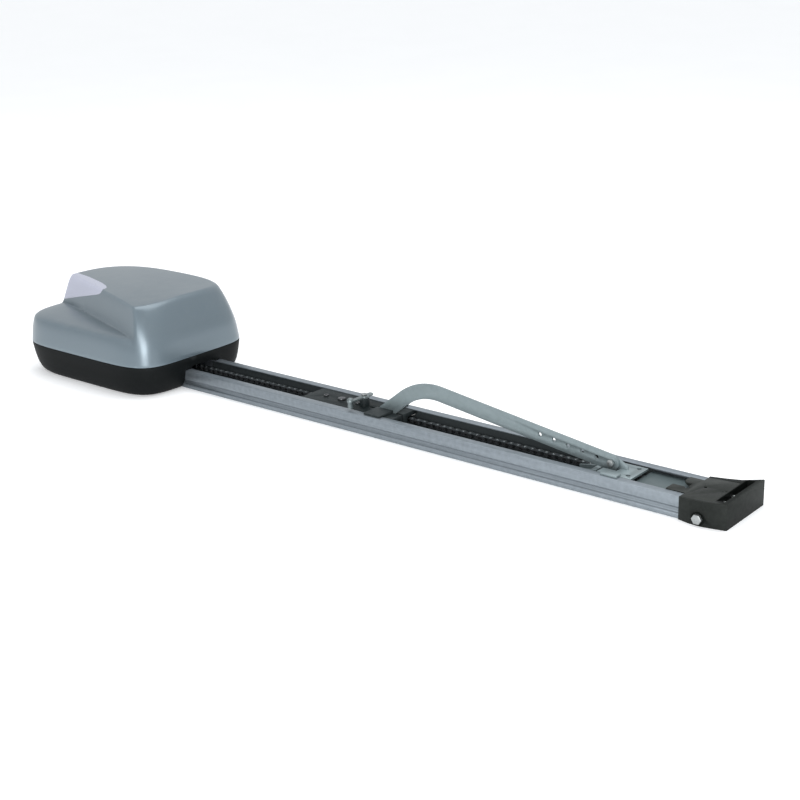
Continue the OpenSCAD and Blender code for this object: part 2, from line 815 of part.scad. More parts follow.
module chain_shuttle() {
    gap = 0.5;
    half = chain_plate / 2 + gap;
    z0 = chain_z - chain_pin / 2 + 1.4 - gap;
    z1 = chain_z + chain_pin / 2 - 1.4 + gap;
    color("#9aa4aa") difference() {
        block([shuttle_x0, shuttle_y0, z0 - 2], [shuttle_x1, keel_y - 2, deck_z]);
        block([shuttle_x0 - 1, -pitch_r - half, z0], [shuttle_x1 + 1, -pitch_r + half, z1]);
        translate([lock_x, 0, 0]) cylinder(d = lock_d + 2 * running, h = 40);
        for (x = shuttle_screw_x) translate([x, 0, deck_z - 9]) cylinder(d = 4.1, h = 10);
    }
}

module shuttle_screws() {
    color("silver") for (x = shuttle_screw_x) translate([x, 0, deck_z - 8])
        pan_screw(4, carriage_top - deck_z + 8);
}

module lock_pin() {
    color("#c7cdd1") translate([lock_x, 0, 0]) {
        translate([0, 0, deck_z - 8]) cylinder(d = lock_d, h = carriage_top - deck_z + 11);
        translate([0, 0, carriage_top + air]) cylinder(d = 13, h = 3);
    }
}

module release_lever() {
    color("#b7c0c5") difference() {
        union() {
            translate([lever_x, 0, lever_z]) {
                cylinder(d = 14, h = 4);
                block([-3.5, -lever_reach, 0], [3.5, 18, 4]);
            }
            translate([lever_x, -lever_reach, knob_z]) cylinder(d = 9, h = lever_z + 5 - knob_z);
            translate([lever_x, -lever_reach, lever_z + 4]) sphere(d = 11);
        }
        translate([lever_x, 0, lever_z - 1]) cylinder(d = 5 + 2 * running, h = 8);
    }
}

module lever_screw() {
    color("silver") translate([lever_x, 0, deck_z + 3]) {
        cylinder(d = 5, h = lever_z + 4 + air - deck_z - 3);
        translate([0, 0, lever_z + 4 + air - deck_z - 3]) hexagon(8, 3);
    }
}

module arm_pivot_pin() {
    reach = keel_y + 1.4;
    color("#c7cdd1") translate([arm_pivot_x, 0, arm_pivot_z]) rod_y(pin_d, -reach, reach);
}

module pivot_circlips() {
    color("#7c858b") translate([arm_pivot_x, 0, arm_pivot_z]) for (s = mirrored)
        translate([0, s * (keel_y + 0.6), 0]) difference() {
            rod_y(9.8, -0.4, 0.4);
            rod_y(pin_d, -1, 1);
        }
}

// ---------- arm ----------
// Points along an arc about a centre, from one angle to another
function arc(centre, r, from, to, steps) =
    [for (i = [0 : steps]) let (a = from + (to - from) * i / steps) centre + r * [cos(a), sin(a)]];

module arm_outline() {
    pivot = [arm_pivot_x, arm_pivot_z];
    end = [arm_end_x, arm_end_z];
    centre = pivot + (rise_len - bend_cut) * rise_dir + arm_bend_r * [rise_dir[1], -rise_dir[0]];
    up = 90 + arm_rise;
    down = 90 - arm_fall;
    r = arm_w / 2;
    polygon(concat(
        arc(pivot, r, up + 180, up, 16),
        arc(centre, arm_bend_r + r, up, down, 20),
        arc(end, r, down, down - 180, 16),
        arc(centre, arm_bend_r - r, down, up, 20)));
}

module arm() {
    color("#a7b1b6") across(arm_t) difference() {
        arm_outline();
        translate([arm_pivot_x, arm_pivot_z]) circle(d = pin_d + 2 * running);
        for (i = [0 : arm_holes - 1])
            translate([arm_end_x, arm_end_z] - i * arm_hole_pitch * fall_dir) circle(d = arm_hole_d);
    }
}

bolt_y0 = -arm_t / 2 - air;
bolt_y1 = ear_y + bracket_t + air;

module bracket_bolt() {
    color("#cfd5d8") translate([arm_end_x, 0, arm_end_z]) {
        rod_y(bolt_d, bolt_y0, bolt_y1 + 6.5);
        translate([0, bolt_y0, 0]) rotate([90, 0, 0]) hexagon(hex_af, hex_h);
    }
}

module bracket_nut() {
    color("#cfd5d8") translate([arm_end_x, bolt_y1, arm_end_z]) rotate([-90, 0, 0]) difference() {
        hexagon(hex_af, 5);
        translate([0, 0, -1]) cylinder(d = bolt_d, h = 8);
    }
}

module door_bracket() {
    ear_r = 10.5;
    plate_near = -mouth + 1;
    plate_far = mouth - 6;
    color("#b3bdc2") difference() {
        union() {
            block([bracket_x0, plate_near, bracket_top - bracket_t],
                  [bracket_x1, plate_far, bracket_top]);
            translate([0, ear_y + bracket_t / 2, 0]) across(bracket_t) {
                translate([arm_end_x, arm_end_z]) circle(r = ear_r);
                translate([bracket_x0, bracket_top - bracket_t])
                    square([bracket_x1 - bracket_x0 - 22, bracket_t + 4]);
                polygon([[arm_end_x, bracket_top], [arm_end_x + 4, arm_end_z + ear_r * 0.93],
                         [bracket_x1 - 22, bracket_top + 4], [bracket_x1 - 22, bracket_top]]);
            }
            block([arm_end_x + 3, -mouth - 8, bracket_top + 0.3],
                  [arm_end_x + 29, plate_near + 3, bracket_top + 0.3 + bracket_t]);
            block([arm_end_x + 3, plate_near, bracket_top - 1],
                  [arm_end_x + 29, plate_near + 3, bracket_top + 1]);
        }
        block([bracket_x0 - 5, -10.5, bracket_top - 12], [arm_end_x + 14, ear_y, bracket_top + 30]);
        block([bracket_x0 - 5, ear_y + bracket_t, bracket_top - 12],
              [arm_end_x + 8, ear_y + bracket_t + 9, bracket_top + 1]);
        translate([arm_end_x, 0, arm_end_z]) rod_y(arm_hole_d, 0, 10);
        for (y = [-16, 14]) translate([bracket_x1 - 10, y, bracket_top - 5]) cylinder(d = 6.5, h = 10);
    }
}

// ---------- end cap ----------
tension_y = [-13, 13];
tension_z = 24;
wall_x0 = 42;
yoke_x0 = idler_x - 12;
yoke_x1 = 40;
yoke_z0 = shell_t + air;
yoke_z1 = 28.5;
yoke_t = 2.2;
hood_x0 = -84;
hood_y = rail_in - 5;
hood_z = 23.3;
hood_t = 1.5;
ledge_z = rail_h - 2.5;
plate_y = cap_side - 3.5;
plate_screw_x = 44.5;
plate_x1 = pocket_x0 - 2;
tongue_y = mouth - 0.8;

// Height of the cap's sloping top at a place along the rail
function cap_top(x) = cap_z0 + (cap_end_h - cap_z0) * x / cap_length;

module cap_plan() {
    polygon([[0, -cap_side], [18, -cap_side - 4], [36, -cap_side - 4.5],
             [54, -cap_near - 3.5], [cap_length - 1.5, -cap_near - 0.4],
             [cap_length, -cap_near + 1], [cap_length, cap_far - 1],
             [cap_length - 1.5, cap_far], [44, cap_side + 8], [22, cap_side + 3],
             [0, cap_side]]);
}

module cap_slope(x0, x1, z0, down) {
    across(300) polygon([[x0, z0], [x1, z0], [x1, cap_top(x1) - down], [x0, cap_top(x0) - down]]);
}

module at_wall_holes() {
    for (y = [-27, 36]) translate([(pocket_x0 + pocket_x1) / 2, y, 0]) children();
}

module end_cap() {
    spot_y = cap_side + 3.6;
    color("#2b2e30") difference() {
        intersection() {
            linear_extrude(60) cap_plan();
            cap_slope(0, cap_length, 0, 0);
        }
        block([-1, -rail_w / 2 - 0.1, -1], [rail_x1 + 0.4, rail_w / 2 + 0.1, rail_h + 0.1]);
        block([rail_x1, 2 - rail_in, shell_t], [wall_x0, rail_in - 2, 60]);
        block([rail_x1, -plate_y, ledge_z], [plate_x1, plate_y, 60]);
        block([-1, -plate_y, rail_h - 1], [rail_x1 + 1, plate_y, 60]);
        block([pocket_x0, 8 - cap_near, 14], [pocket_x1, cap_far - 12, 60]);
        translate([header_x, 0, header_z]) rod_y(header_d + 2 * running, -80, 80);
        translate([header_x, 0, header_z]) rod_y(20, -spot_y - 20, -spot_y);
        translate([header_x, 0, header_z]) rod_y(20, spot_y, spot_y + 30);
        for (y = tension_y) translate([0, y, tension_z]) rod_x(5.2, wall_x0 - 1, pocket_x0 + 1);
        translate([plate_screw_x, 0, 12]) cylinder(d = 4.1, h = 40);
        at_wall_holes() translate([0, 0, -1]) cylinder(d = 6.5, h = 20);
    }
}

module cap_plate() {
    finger = 29;
    color("#56595a") difference() {
        union() {
            intersection() {
                block([rail_x1 + 0.6, -plate_y + air, ledge_z], [plate_x1 - air, plate_y - air, 60]);
                cap_slope(0, pocket_x0, ledge_z, 0.2);
            }
            intersection() {
                block([0, -plate_y + air, rail_h + air], [rail_x1 + 0.6, plate_y - air, 60]);
                cap_slope(0, pocket_x0, ledge_z, 0.2);
            }
            block([-finger, -tongue_y, ledge_z], [rail_x1 + 0.6, tongue_y, cap_z0 - 0.2]);
        }
        block([-finger - 1, -8, ledge_z - 1], [-7, tongue_y + 1, 60]);
        translate([-7, -8, 0]) rotate([0, 0, 45]) block([-3, -3, ledge_z - 1], [3, 3, 60]);
        translate([plate_screw_x, 0, ledge_z - 1]) cylinder(d = 4.1, h = 20);
        translate([plate_screw_x, 0, cap_top(plate_screw_x) - 2.6]) cylinder(d = 7.2, h = 9);
        translate([14, 4, cap_z0 - 1.5]) cylinder(d = 5, h = 9);
    }
    color("#56595a") difference() {
        block([-21, 6, ledge_z], [-7, tongue_y, cap_z0 - 0.2]);
        translate([-21, 6, 0]) rotate([0, 0, 45]) block([-4, -4, ledge_z - 1], [4, 4, 60]);
    }
}

module cap_plate_screw() {
    color("#4a4d4f") translate([plate_screw_x, 0, cap_top(plate_screw_x) - 2.6 - 16]) {
        cylinder(d = 4, h = 16);
        translate([0, 0, 16]) cylinder(d = 6.6, h = 2);
    }
}

module tension_yoke() {
    color("#98a1a6") difference() {
        union() {
            block([yoke_x0, -12, yoke_z0], [yoke_x1, 12, yoke_z0 + yoke_t]);
            block([yoke_x0, -12, yoke_z1 - yoke_t], [yoke_x1, 12, yoke_z1]);
            block([yoke_x0, -12, hood_z], [yoke_x0 + 2, 12, yoke_z1]);
            block([hood_x0, -hood_y, hood_z], [yoke_x0 + 2, hood_y, hood_z + hood_t]);
            block([yoke_x1 - 3, -19, yoke_z0], [yoke_x1, 19, yoke_z1]);
        }
        translate([idler_x, 0, 0]) cylinder(d = idler_axle_d, h = 40);
        for (y = tension_y) translate([0, y, tension_z]) rod_x(5, yoke_x1 - 10, yoke_x1 + 10);
    }
}

module idler_axle() {
    color("#c7cdd1") translate([idler_x, 0, yoke_z0]) cylinder(d = idler_axle_d, h = yoke_z1 - yoke_z0);
}

module idler_bush() {
    z0 = yoke_z0 + yoke_t + air;
    z1 = yoke_z1 - yoke_t - air;
    color("#b78f4a") translate([idler_x, 0, z0]) difference() {
        cylinder(d = shaft_d, h = z1 - z0);
        translate([0, 0, -1]) cylinder(d = idler_axle_d + 2 * running, h = z1 - z0 + 2);
    }
}

module idler_sprocket() {
    color("#aeb5ba") translate([idler_x, 0, 0]) sprocket(chain_z);
}

module header_bolt() {
    face = cap_side + 3.6;
    color("#c9cfd3") translate([header_x, 0, header_z]) {
        rod_y(header_d, -face, face + 9);
        translate([0, -face, 0]) rotate([90, 0, 0]) hexagon(13, 5.3);
    }
}

module header_nut() {
    color("#c9cfd3") translate([header_x, cap_side + 3.6, header_z]) rotate([-90, 0, 0]) difference() {
        hexagon(13, 6.5);
        translate([0, 0, -1]) cylinder(d = header_d, h = 9);
    }
}

module tension_screws() {
    color("#d8dddf") for (y = tension_y) translate([0, y, tension_z])
        rod_x(5, yoke_x1 - 4, pocket_x0 + 7.5);
}

module tension_nuts() {
    color("#e1e5e7") for (y = tension_y) translate([pocket_x0, y, tension_z]) rotate([0, 90, 0])
        difference() {
            hexagon(8, 4);
            translate([0, 0, -1]) cylinder(d = 5, h = 6);
        }
}

base_tray();
cover();
lamp_lens();
cover_screws();
rail();
chain_guides();
rail_saddle();
saddle_screws();
gearbox_housing();
gearbox_lid();
gearbox_screws();
shaft_bearings();
motor_body();
motor_end_bell();
worm_shaft();
worm_wheel();
output_shaft();
drive_sprocket();
transformer_core();
transformer_coil();
transformer_clamp();
control_board();
board_pillars();
terminal_blocks();
relays();
capacitor();
radio_module();
lamp_socket();
lamp_bulb();
cable_gland();
chain_near_run();
chain_far_run();
chain_turns();
travel_stop();
stop_screw();
carriage_body();
slide_pads();
chain_shuttle();
shuttle_screws();
lock_pin();
release_lever();
lever_screw();
arm_pivot_pin();
pivot_circlips();
arm();
bracket_bolt();
bracket_nut();
door_bracket();
end_cap();
cap_plate();
cap_plate_screw();
tension_yoke();
idler_sprocket();
idler_bush();
idler_axle();
header_bolt();
header_nut();
tension_screws();
tension_nuts();
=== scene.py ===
"""Looks of a ceiling-mounted garage door operator: painted head cover with a lamp window,
black base tray, galvanised chain rail, trolley carriage with a folding arm, and an idler end cap.

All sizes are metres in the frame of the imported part.
"""
import json
import math

import bpy
import numpy as np
from mathutils import Matrix, Vector

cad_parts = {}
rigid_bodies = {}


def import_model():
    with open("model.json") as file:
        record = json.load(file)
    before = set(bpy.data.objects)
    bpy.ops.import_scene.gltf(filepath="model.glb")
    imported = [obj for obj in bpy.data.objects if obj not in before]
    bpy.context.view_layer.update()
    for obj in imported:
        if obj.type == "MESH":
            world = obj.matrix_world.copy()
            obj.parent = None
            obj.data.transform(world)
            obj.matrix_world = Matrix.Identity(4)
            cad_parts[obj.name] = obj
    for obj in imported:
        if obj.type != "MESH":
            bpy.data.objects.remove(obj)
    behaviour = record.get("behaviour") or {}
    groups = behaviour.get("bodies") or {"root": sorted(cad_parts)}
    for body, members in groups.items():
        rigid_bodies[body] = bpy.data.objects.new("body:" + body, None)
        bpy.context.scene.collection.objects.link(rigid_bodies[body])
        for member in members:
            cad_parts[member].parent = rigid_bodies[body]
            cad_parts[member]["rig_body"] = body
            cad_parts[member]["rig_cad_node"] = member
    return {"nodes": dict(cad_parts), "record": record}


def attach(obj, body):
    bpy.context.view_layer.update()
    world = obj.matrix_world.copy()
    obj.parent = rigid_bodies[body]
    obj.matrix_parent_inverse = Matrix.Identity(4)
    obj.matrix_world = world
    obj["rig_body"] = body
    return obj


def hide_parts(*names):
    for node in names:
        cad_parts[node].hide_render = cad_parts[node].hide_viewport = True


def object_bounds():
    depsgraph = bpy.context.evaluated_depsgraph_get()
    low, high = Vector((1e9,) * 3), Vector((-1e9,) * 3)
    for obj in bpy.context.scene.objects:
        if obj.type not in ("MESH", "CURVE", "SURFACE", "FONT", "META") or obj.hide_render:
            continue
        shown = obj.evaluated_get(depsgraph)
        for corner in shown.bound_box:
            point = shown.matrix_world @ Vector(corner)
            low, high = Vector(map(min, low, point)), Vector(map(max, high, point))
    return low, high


MM = 0.001

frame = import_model()
cad_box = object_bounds()
nodes = frame["nodes"]

# ---------------------------------------------------------------- sizes of the real parts
HEAD_X, HEAD_Y = -1135 * MM, -8.5 * MM
HALF_LENGTH, HALF_WIDTH = 172 * MM, 130.5 * MM
OUTLINE_POWER = 5.5
SEAM_Z = 55 * MM
CROWN_Z = 158 * MM
SHELL_T = 3 * MM
HEAD_FRONT = -963 * MM

RAIL_X0, RAIL_X1 = -1100 * MM, 20 * MM
RAIL_HALF, RAIL_H, RAIL_T = 42 * MM, 32 * MM, 1.5 * MM
RAIL_BEND = 1.3 * MM
MOUTH_HALF = 28 * MM
GROOVE_LOW, GROOVE_HIGH, GROOVE_DEPTH = 8.64 * MM, 15.04 * MM, 2.5 * MM
GROOVE_SLOPE = 1.6 * MM

DRIVE_X, IDLER_X = -1062 * MM, 2 * MM
CHAIN_Z = 17 * MM
PITCH = 12.7 * MM
SPROCKET_TEETH = 9
PITCH_R = PITCH / (2 * math.sin(math.pi / SPROCKET_TEETH))


# ---------------------------------------------------------------- modelling helpers
def deselect():
    if bpy.context.mode != "OBJECT":
        bpy.ops.object.mode_set(mode="OBJECT")
    bpy.ops.object.select_all(action="DESELECT")


def activate(piece):
    deselect()
    piece.select_set(True)
    bpy.context.view_layer.objects.active = piece


def edit_whole(piece):
    """Opens a piece in edit mode with all of it picked."""
    activate(piece)
    bpy.ops.object.mode_set(mode="EDIT")
    bpy.ops.mesh.select_all(action="SELECT")


def close_edit():
    bpy.ops.object.mode_set(mode="OBJECT")


def point_outwards(piece):
    edit_whole(piece)
    bpy.ops.mesh.normals_make_consistent(inside=False)
    close_edit()


def flip_faces(piece):
    edit_whole(piece)
    bpy.ops.mesh.flip_normals()
    close_edit()


def settle(piece, name):
    """Bakes the piece's place into its mesh, so that its object sits at the origin."""
    activate(piece)
    bpy.ops.object.transform_apply(location=True, rotation=True, scale=True)
    piece.name = name
    piece.data.name = name
    return piece


def apply_modifier(piece, kind, **settings):
    activate(piece)
    modifier = piece.modifiers.new(kind.lower(), kind)
    for key, value in settings.items():
        setattr(modifier, key, value)
    bpy.ops.object.modifier_apply(modifier=modifier.name)


def round_edges(piece, width, corner=38):
    """Breaks every edge whose faces turn by more than corner degrees."""
    apply_modifier(piece, "BEVEL", width=width, segments=2, limit_method="ANGLE",
                   angle_limit=math.radians(corner), use_clamp_overlap=True)


def smooth(piece, angle=38):
    activate(piece)
    bpy.ops.object.shade_smooth_by_angle(angle=math.radians(angle))


def body_of(node):
    return nodes[node]["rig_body"]


def hand_over(piece, *replaced):
    """The piece rides with the body of the CAD nodes that it stands for."""
    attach(piece, body_of(replaced[0]))
    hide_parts(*replaced)
    return piece


def finished_copy(node, width):
    """A copy of a CAD node with one clean skin and its edges broken, as a finished part has."""
    piece = bpy.data.objects.new(node + "_finished", nodes[node].data.copy())
    bpy.context.scene.collection.objects.link(piece)
    activate(piece)
    bpy.ops.mesh.customdata_custom_splitnormals_clear()
    edit_whole(piece)
    bpy.ops.mesh.remove_doubles(threshold=0.005 * MM)
    bpy.ops.mesh.dissolve_limited(angle_limit=math.radians(1))
    close_edit()
    round_edges(piece, width)
    smooth(piece)
    return hand_over(piece, node)


# Length in millimetres of the cutter for a hole in a floor
ROD_LENGTH = 12


def cut_away(piece, cutter):
    apply_modifier(piece, "BOOLEAN", operation="DIFFERENCE", solver="EXACT", object=cutter)
    bpy.data.objects.remove(cutter)


def block(low, high):
    """A cutter with its lowest and highest corners given in millimetres."""
    deselect()
    low, high = Vector(low) * MM, Vector(high) * MM
    bpy.ops.mesh.primitive_cube_add(size=1, location=(low + high) / 2, scale=high - low)
    return bpy.context.object


def rod(x, y, radius):
    """An upright round cutter through the floor of the part, its sizes in millimetres."""
    deselect()
    bpy.ops.mesh.primitive_cylinder_add(vertices=40, radius=radius * MM, depth=ROD_LENGTH * MM,
                                        location=Vector((x, y, 0)) * MM)
    return bpy.context.object


def coordinates(mesh):
    co = np.empty(len(mesh.vertices) * 3)
    mesh.vertices.foreach_get("co", co)
    return co.reshape(-1, 3)


def set_coordinates(mesh, co):
    mesh.vertices.foreach_set("co", co.ravel())
    mesh.update()


def face_centres(mesh):
    centres = np.empty(len(mesh.polygons) * 3)
    mesh.polygons.foreach_get("center", centres)
    return centres.reshape(-1, 3)


def select_faces(piece, chosen):
    """Picks faces by a true-or-false array, in object mode, ready for edit mode."""
    mesh = piece.data
    mesh.vertices.foreach_set("select", np.zeros(len(mesh.vertices), bool))
    mesh.edges.foreach_set("select", np.zeros(len(mesh.edges), bool))
    mesh.polygons.foreach_set("select", chosen)
    mesh.update()


# ---------------------------------------------------------------- head outline
OUTLINE_STEPS = 384
OUTLINE_SAMPLES = 20001


def even_outline(steps):
    """Points round the head's squarish outline at even distances, for half sizes of one."""
    angle = np.linspace(0, 2 * np.pi, OUTLINE_SAMPLES)
    power = 2 / OUTLINE_POWER
    x = HALF_LENGTH * np.sign(np.cos(angle)) * np.abs(np.cos(angle)) ** power
    y = HALF_WIDTH * np.sign(np.sin(angle)) * np.abs(np.sin(angle)) ** power
    length = np.concatenate([[0], np.cumsum(np.hypot(np.diff(x), np.diff(y)))])
    at = np.linspace(0, length[-1], steps, endpoint=False)
    return np.interp(at, length, x), np.interp(at, length, y)


def outline_ring(z):
    """A bare ring of edges on the head's widest line."""
    deselect()
    bpy.ops.mesh.primitive_circle_add(vertices=OUTLINE_STEPS, radius=1, fill_type="NOTHING")
    ring = bpy.context.object
    x, y = even_outline(OUTLINE_STEPS)
    set_coordinates(ring.data, np.stack([x + HEAD_X, y + HEAD_Y, np.full(len(x), z)], 1))
    return ring


def grow_ring(lift, inset_from, inset_to):
    """Extrudes the picked ring up by lift and draws it in from one inset to the next."""
    scale = [(half - to) / (half - start)
             for half, start, to in zip((HALF_LENGTH, HALF_WIDTH), inset_from, inset_to)]
    bpy.ops.mesh.extrude_region_move(TRANSFORM_OT_translate={"value": (0, 0, lift)})
    bpy.ops.transform.resize(value=(*scale, 1), center_override=(HEAD_X, HEAD_Y, 0))


# ---------------------------------------------------------------- cover and lamp window
def soft_min(a, b, blend):
    h = np.maximum(blend - np.abs(a - b), 0) / blend
    return np.minimum(a, b) - h * h * blend / 4


def soft_max(a, b, blend):
    return -soft_min(-a, -b, blend)


def inside_by(x, y, inset_x, inset_y, power=OUTLINE_POWER):
    """Below zero inside the outline drawn in by the two insets."""
    return (np.abs((x - HEAD_X) / (HALF_LENGTH - inset_x)) ** power
            + np.abs((y - HEAD_Y) / (HALF_WIDTH - inset_y)) ** power - 1)


def curve(points, at):
    """A smooth line through a few points, with no overshoot between them."""
    px, py = np.array(points, float).T
    slope = np.diff(py) / np.diff(px)
    tangent = np.concatenate([[slope[0]], np.where(slope[1:] * slope[:-1] > 0,
                              2 * slope[1:] * slope[:-1] / (slope[1:] + slope[:-1]), 0),
                              [slope[-1]]])
    at = np.clip(at, px[0], px[-1])
    i = np.clip(np.searchsorted(px, at) - 1, 0, len(px) - 2)
    width = px[i + 1] - px[i]
    t = (at - px[i]) / width
    return ((2 * t**3 - 3 * t**2 + 1) * py[i] + (t**3 - 2 * t**2 + t) * width * tangent[i]
            + (3 * t**2 - 2 * t**3) * py[i + 1] + (t**3 - t**2) * width * tangent[i + 1])


def wall_height(x, y, end_wall, side_wall):
    """Height at which a wall, drawn in with height by two curves, passes over each point.

    Its corners grow rounder with height, and its back leans in less than its front.
    """
    low, high = np.full(x.shape, SEAM_Z), np.full(x.shape, end_wall[-1][0] * MM)
    lean_share = np.where(x < HEAD_X, BACK_LEAN, 1)
    for _ in range(HALVINGS):
        middle = (low + high) / 2
        climbed = np.clip((middle - SEAM_Z) / (CROWN_Z - SEAM_Z), 0, 1)
        outside = inside_by(x, y, curve(end_wall, middle / MM) * MM * lean_share,
                            curve(side_wall, middle / MM) * MM,
                            OUTLINE_POWER + (TOP_POWER - OUTLINE_POWER) * climbed) > 0
        high = np.where(outside, middle, high)
        low = np.where(outside, low, middle)
    return low


# Steps of the search for a wall's height, each halving what is left
HALVINGS = 32
# Height in millimetres against how far the wall has drawn in
TALL_END_WALL = [(55, 0), (80, 1.4), (95, 4), (120, 12), (150, 27), (170, 41), (230, 100)]
TALL_SIDE_WALL = [(55, 0), (80, 1), (95, 2), (120, 4.5), (146, 9), (158, 16), (175, 34),
                  (230, 80)]
SHOULDER_WALL = [(55, 0), (80, 1.2), (95, 3.4), (99.5, 5), (102, 8), (104, 14), (106, 30),
                 (109, 90)]
TOP_POWER = 3.6
BACK_LEAN = 0.6

# How far the top falls at these distances from its middle: along, across and at the corners (mm)
TOP_REACH_X, TOP_REACH_Y = 160, 120
TOP_FALL_X, TOP_FALL_Y, TOP_FALL_CORNER = 1.6, 3.4, 4.2

# The recess beside the raised part, in millimetres: where it starts, its foot's line (place at the
# start, then drift with the run), the width of its slope likewise, and its two heights
RECESS_START_X = -1010
RECESS_FOOT = (-119, 0.28)
RECESS_SPREAD = (12, 0.01)
RECESS_FOOT_Z, RECESS_RIM_Z = 105, 152
RECESS_LENGTH = 290
FRONT_RIDGE_BLEND, BACK_RIDGE_BLEND = 6, 30
CREASE_BLEND, TOP_EDGE_BLEND = 5, 7


def cover_height(x, y):
    """Height in metres of the cover's skin over each point of its plan."""
    tall = wall_height(x, y, TALL_END_WALL, TALL_SIDE_WALL) / MM
    shoulder = wall_height(x, y, SHOULDER_WALL, SHOULDER_WALL) / MM
    u = (x - HEAD_X) / (TOP_REACH_X * MM)
    v = (y - HEAD_Y) / (TOP_REACH_Y * MM)
    arched_top = (CROWN_Z / MM - TOP_FALL_X * u**2 - TOP_FALL_Y * v**2
                  - TOP_FALL_CORNER * u**2 * v**2)
    run = RECESS_START_X - x / MM
    foot = RECESS_FOOT[0] + RECESS_FOOT[1] * run
    spread = RECESS_SPREAD[0] + RECESS_SPREAD[1] * run
    lean = RECESS_FOOT_Z + (RECESS_RIM_Z - RECESS_FOOT_Z) * (y / MM - foot) / spread
    backward = np.clip(run / RECESS_LENGTH, 0, 1) ** 2
    ridge_blend = FRONT_RIDGE_BLEND + (BACK_RIDGE_BLEND - FRONT_RIDGE_BLEND) * backward
    raised = soft_min(soft_min(tall, arched_top, TOP_EDGE_BLEND), lean, ridge_blend)
    return soft_max(shoulder, raised, CREASE_BLEND) * MM


# Insets in millimetres of the skin's rings, close together where the wall is steep, and how many
# more rings close the middle
SKIN_INSETS = [0.3, 0.7, 1.2, 2, 3, 4.2, *np.arange(5.6, 34, 1.6), *np.arange(34, 60, 2.4)]
INNER_RINGS = 36
ON_RIM = 1e-5


def cover_skin():
    """The whole outer skin of the cover, rings of quads from the seam in to the crown."""
    skin = outline_ring(SEAM_Z)
    edit_whole(skin)
    last = (0.0, 0.0)
    for inset in SKIN_INSETS:
        grow_ring(0, last, (inset * MM, inset * MM))
        last = (inset * MM, inset * MM)
    inner = [(half - last[0]) for half in (HALF_LENGTH, HALF_WIDTH)]
    for step in range(1, INNER_RINGS):
        share = 1 - step / INNER_RINGS
        target = (HALF_LENGTH - inner[0] * share, HALF_WIDTH - inner[1] * share)
        grow_ring(0, last, target)
        last = target
    bpy.ops.mesh.merge(type="CENTER")
    close_edit()
    point_outwards(skin)
    co = coordinates(skin.data)
    height = cover_height(co[:, 0], co[:, 1])
    rim = inside_by(co[:, 0], co[:, 1], 0, 0) > -ON_RIM
    co[:, 2] = np.where(rim, SEAM_Z, height)
    set_coordinates(skin.data, co)
    if np.mean([p.normal.z for p in skin.data.polygons]) < 0:
        flip_faces(skin)
    return skin


# The lamp window's outline: its lower edge seen from the side, its upper edge from above (mm)
WINDOW_SIDE = [(-1145, 155), (-1147, 151), (-1153, 148), (-1165, 144.5), (-1224, 130),
               (-1348, 98)]
WINDOW_PLAN = [(-1145, -58), (-1148, -52), (-1160, -44), (-1182, -35), (-1240, -18), (-1288, -8),
               (-1348, 2)]
# What a cut for the window may reach: past its own ends, and across and above these places (mm)
CUT_PAST_END, CUT_BELOW_Y, CUT_ABOVE_Z = 9, 60, 95


def split_along(piece, first, second, across):
    """Cuts new edges where the plane through two points, seen along one axis, meets the skin."""
    x, y, z = face_centres(piece.data).T / MM
    low, high = sorted((first[0], second[0]))
    select_faces(piece, (x > low - CUT_PAST_END) & (x < high + CUT_PAST_END)
                 & (y < CUT_BELOW_Y) & (z > CUT_ABOVE_Z))
    bpy.ops.object.mode_set(mode="EDIT")
    run, rise = second[0] - first[0], second[1] - first[1]
    point = (first[0], 0, first[1]) if across == "Y" else (first[0], first[1], 0)
    normal = (-rise, 0, run) if across == "Y" else (-rise, run, 0)
    bpy.ops.mesh.bisect(plane_co=Vector(point) * MM, plane_no=Vector(normal).normalized(),
                        use_fill=False)
    bpy.ops.object.mode_set(mode="OBJECT")


def make_cover():
    skin = cover_skin()
    activate(skin)
    for line, across in ((WINDOW_SIDE, "Y"), (WINDOW_PLAN, "Z")):
        for first, second in zip(line, line[1:]):
            split_along(skin, first, second, across)
    x, y, z = face_centres(skin.data).T / MM
    lower_edge = np.interp(x, *np.array(WINDOW_SIDE)[::-1].T)
    upper_edge = np.interp(x, *np.array(WINDOW_PLAN)[::-1].T)
    select_faces(skin, (x < WINDOW_SIDE[0][0]) & (z > lower_edge) & (y < upper_edge))
    activate(skin)
    bpy.ops.object.mode_set(mode="EDIT")
    bpy.ops.mesh.separate(type="SELECTED")
    bpy.ops.object.mode_set(mode="OBJECT")
    window = [o for o in bpy.context.selected_objects if o != skin][0]
    for piece, name in ((skin, "head_cover"), (window, "lamp_window")):
        settle(piece, name)
        apply_modifier(piece, "SOLIDIFY", thickness=SHELL_T, offset=-1, use_even_offset=False)
        round_edges(piece, 0.45 * MM, corner=62)
        smooth(piece, 50)
    hand_over(skin, "cover")
    hand_over(window, "lamp_lens")
    return skin, window


# ---------------------------------------------------------------- base tray
# Height and how far the tray is drawn in along and across the rail, from the floor up (mm)
TRAY_LEVELS = [(0, 19.5, 15), (0.6, 18.2, 13.8), (2, 16.2, 12.2), (5, 13.2, 9.8), (10, 9.8, 7.4),
               (18, 6.4, 5), (30, 3.4, 2.8), (46, 0.8, 0.7), (53.6, 0, 0), (53.9, 0.7, 0.7),
               (55, 0.7, 0.7)]

# The cut for the rail and the one for its mouth, through the tray's front wall (mm)
RAIL_GAP = 0.4
CUT_PAST_FRONT = 8
MOUTH_CUT_BACK, MOUTH_CUT_LOW, MOUTH_CUT_HIGH = 30, 31, 37

# Half the distances along and across between the floor's holes, and their radius (mm)
MOUNTING_HOLES = (125, 85, 3.5)
COVER_SCREW_HOLES = (130, 98.5, 4.5)


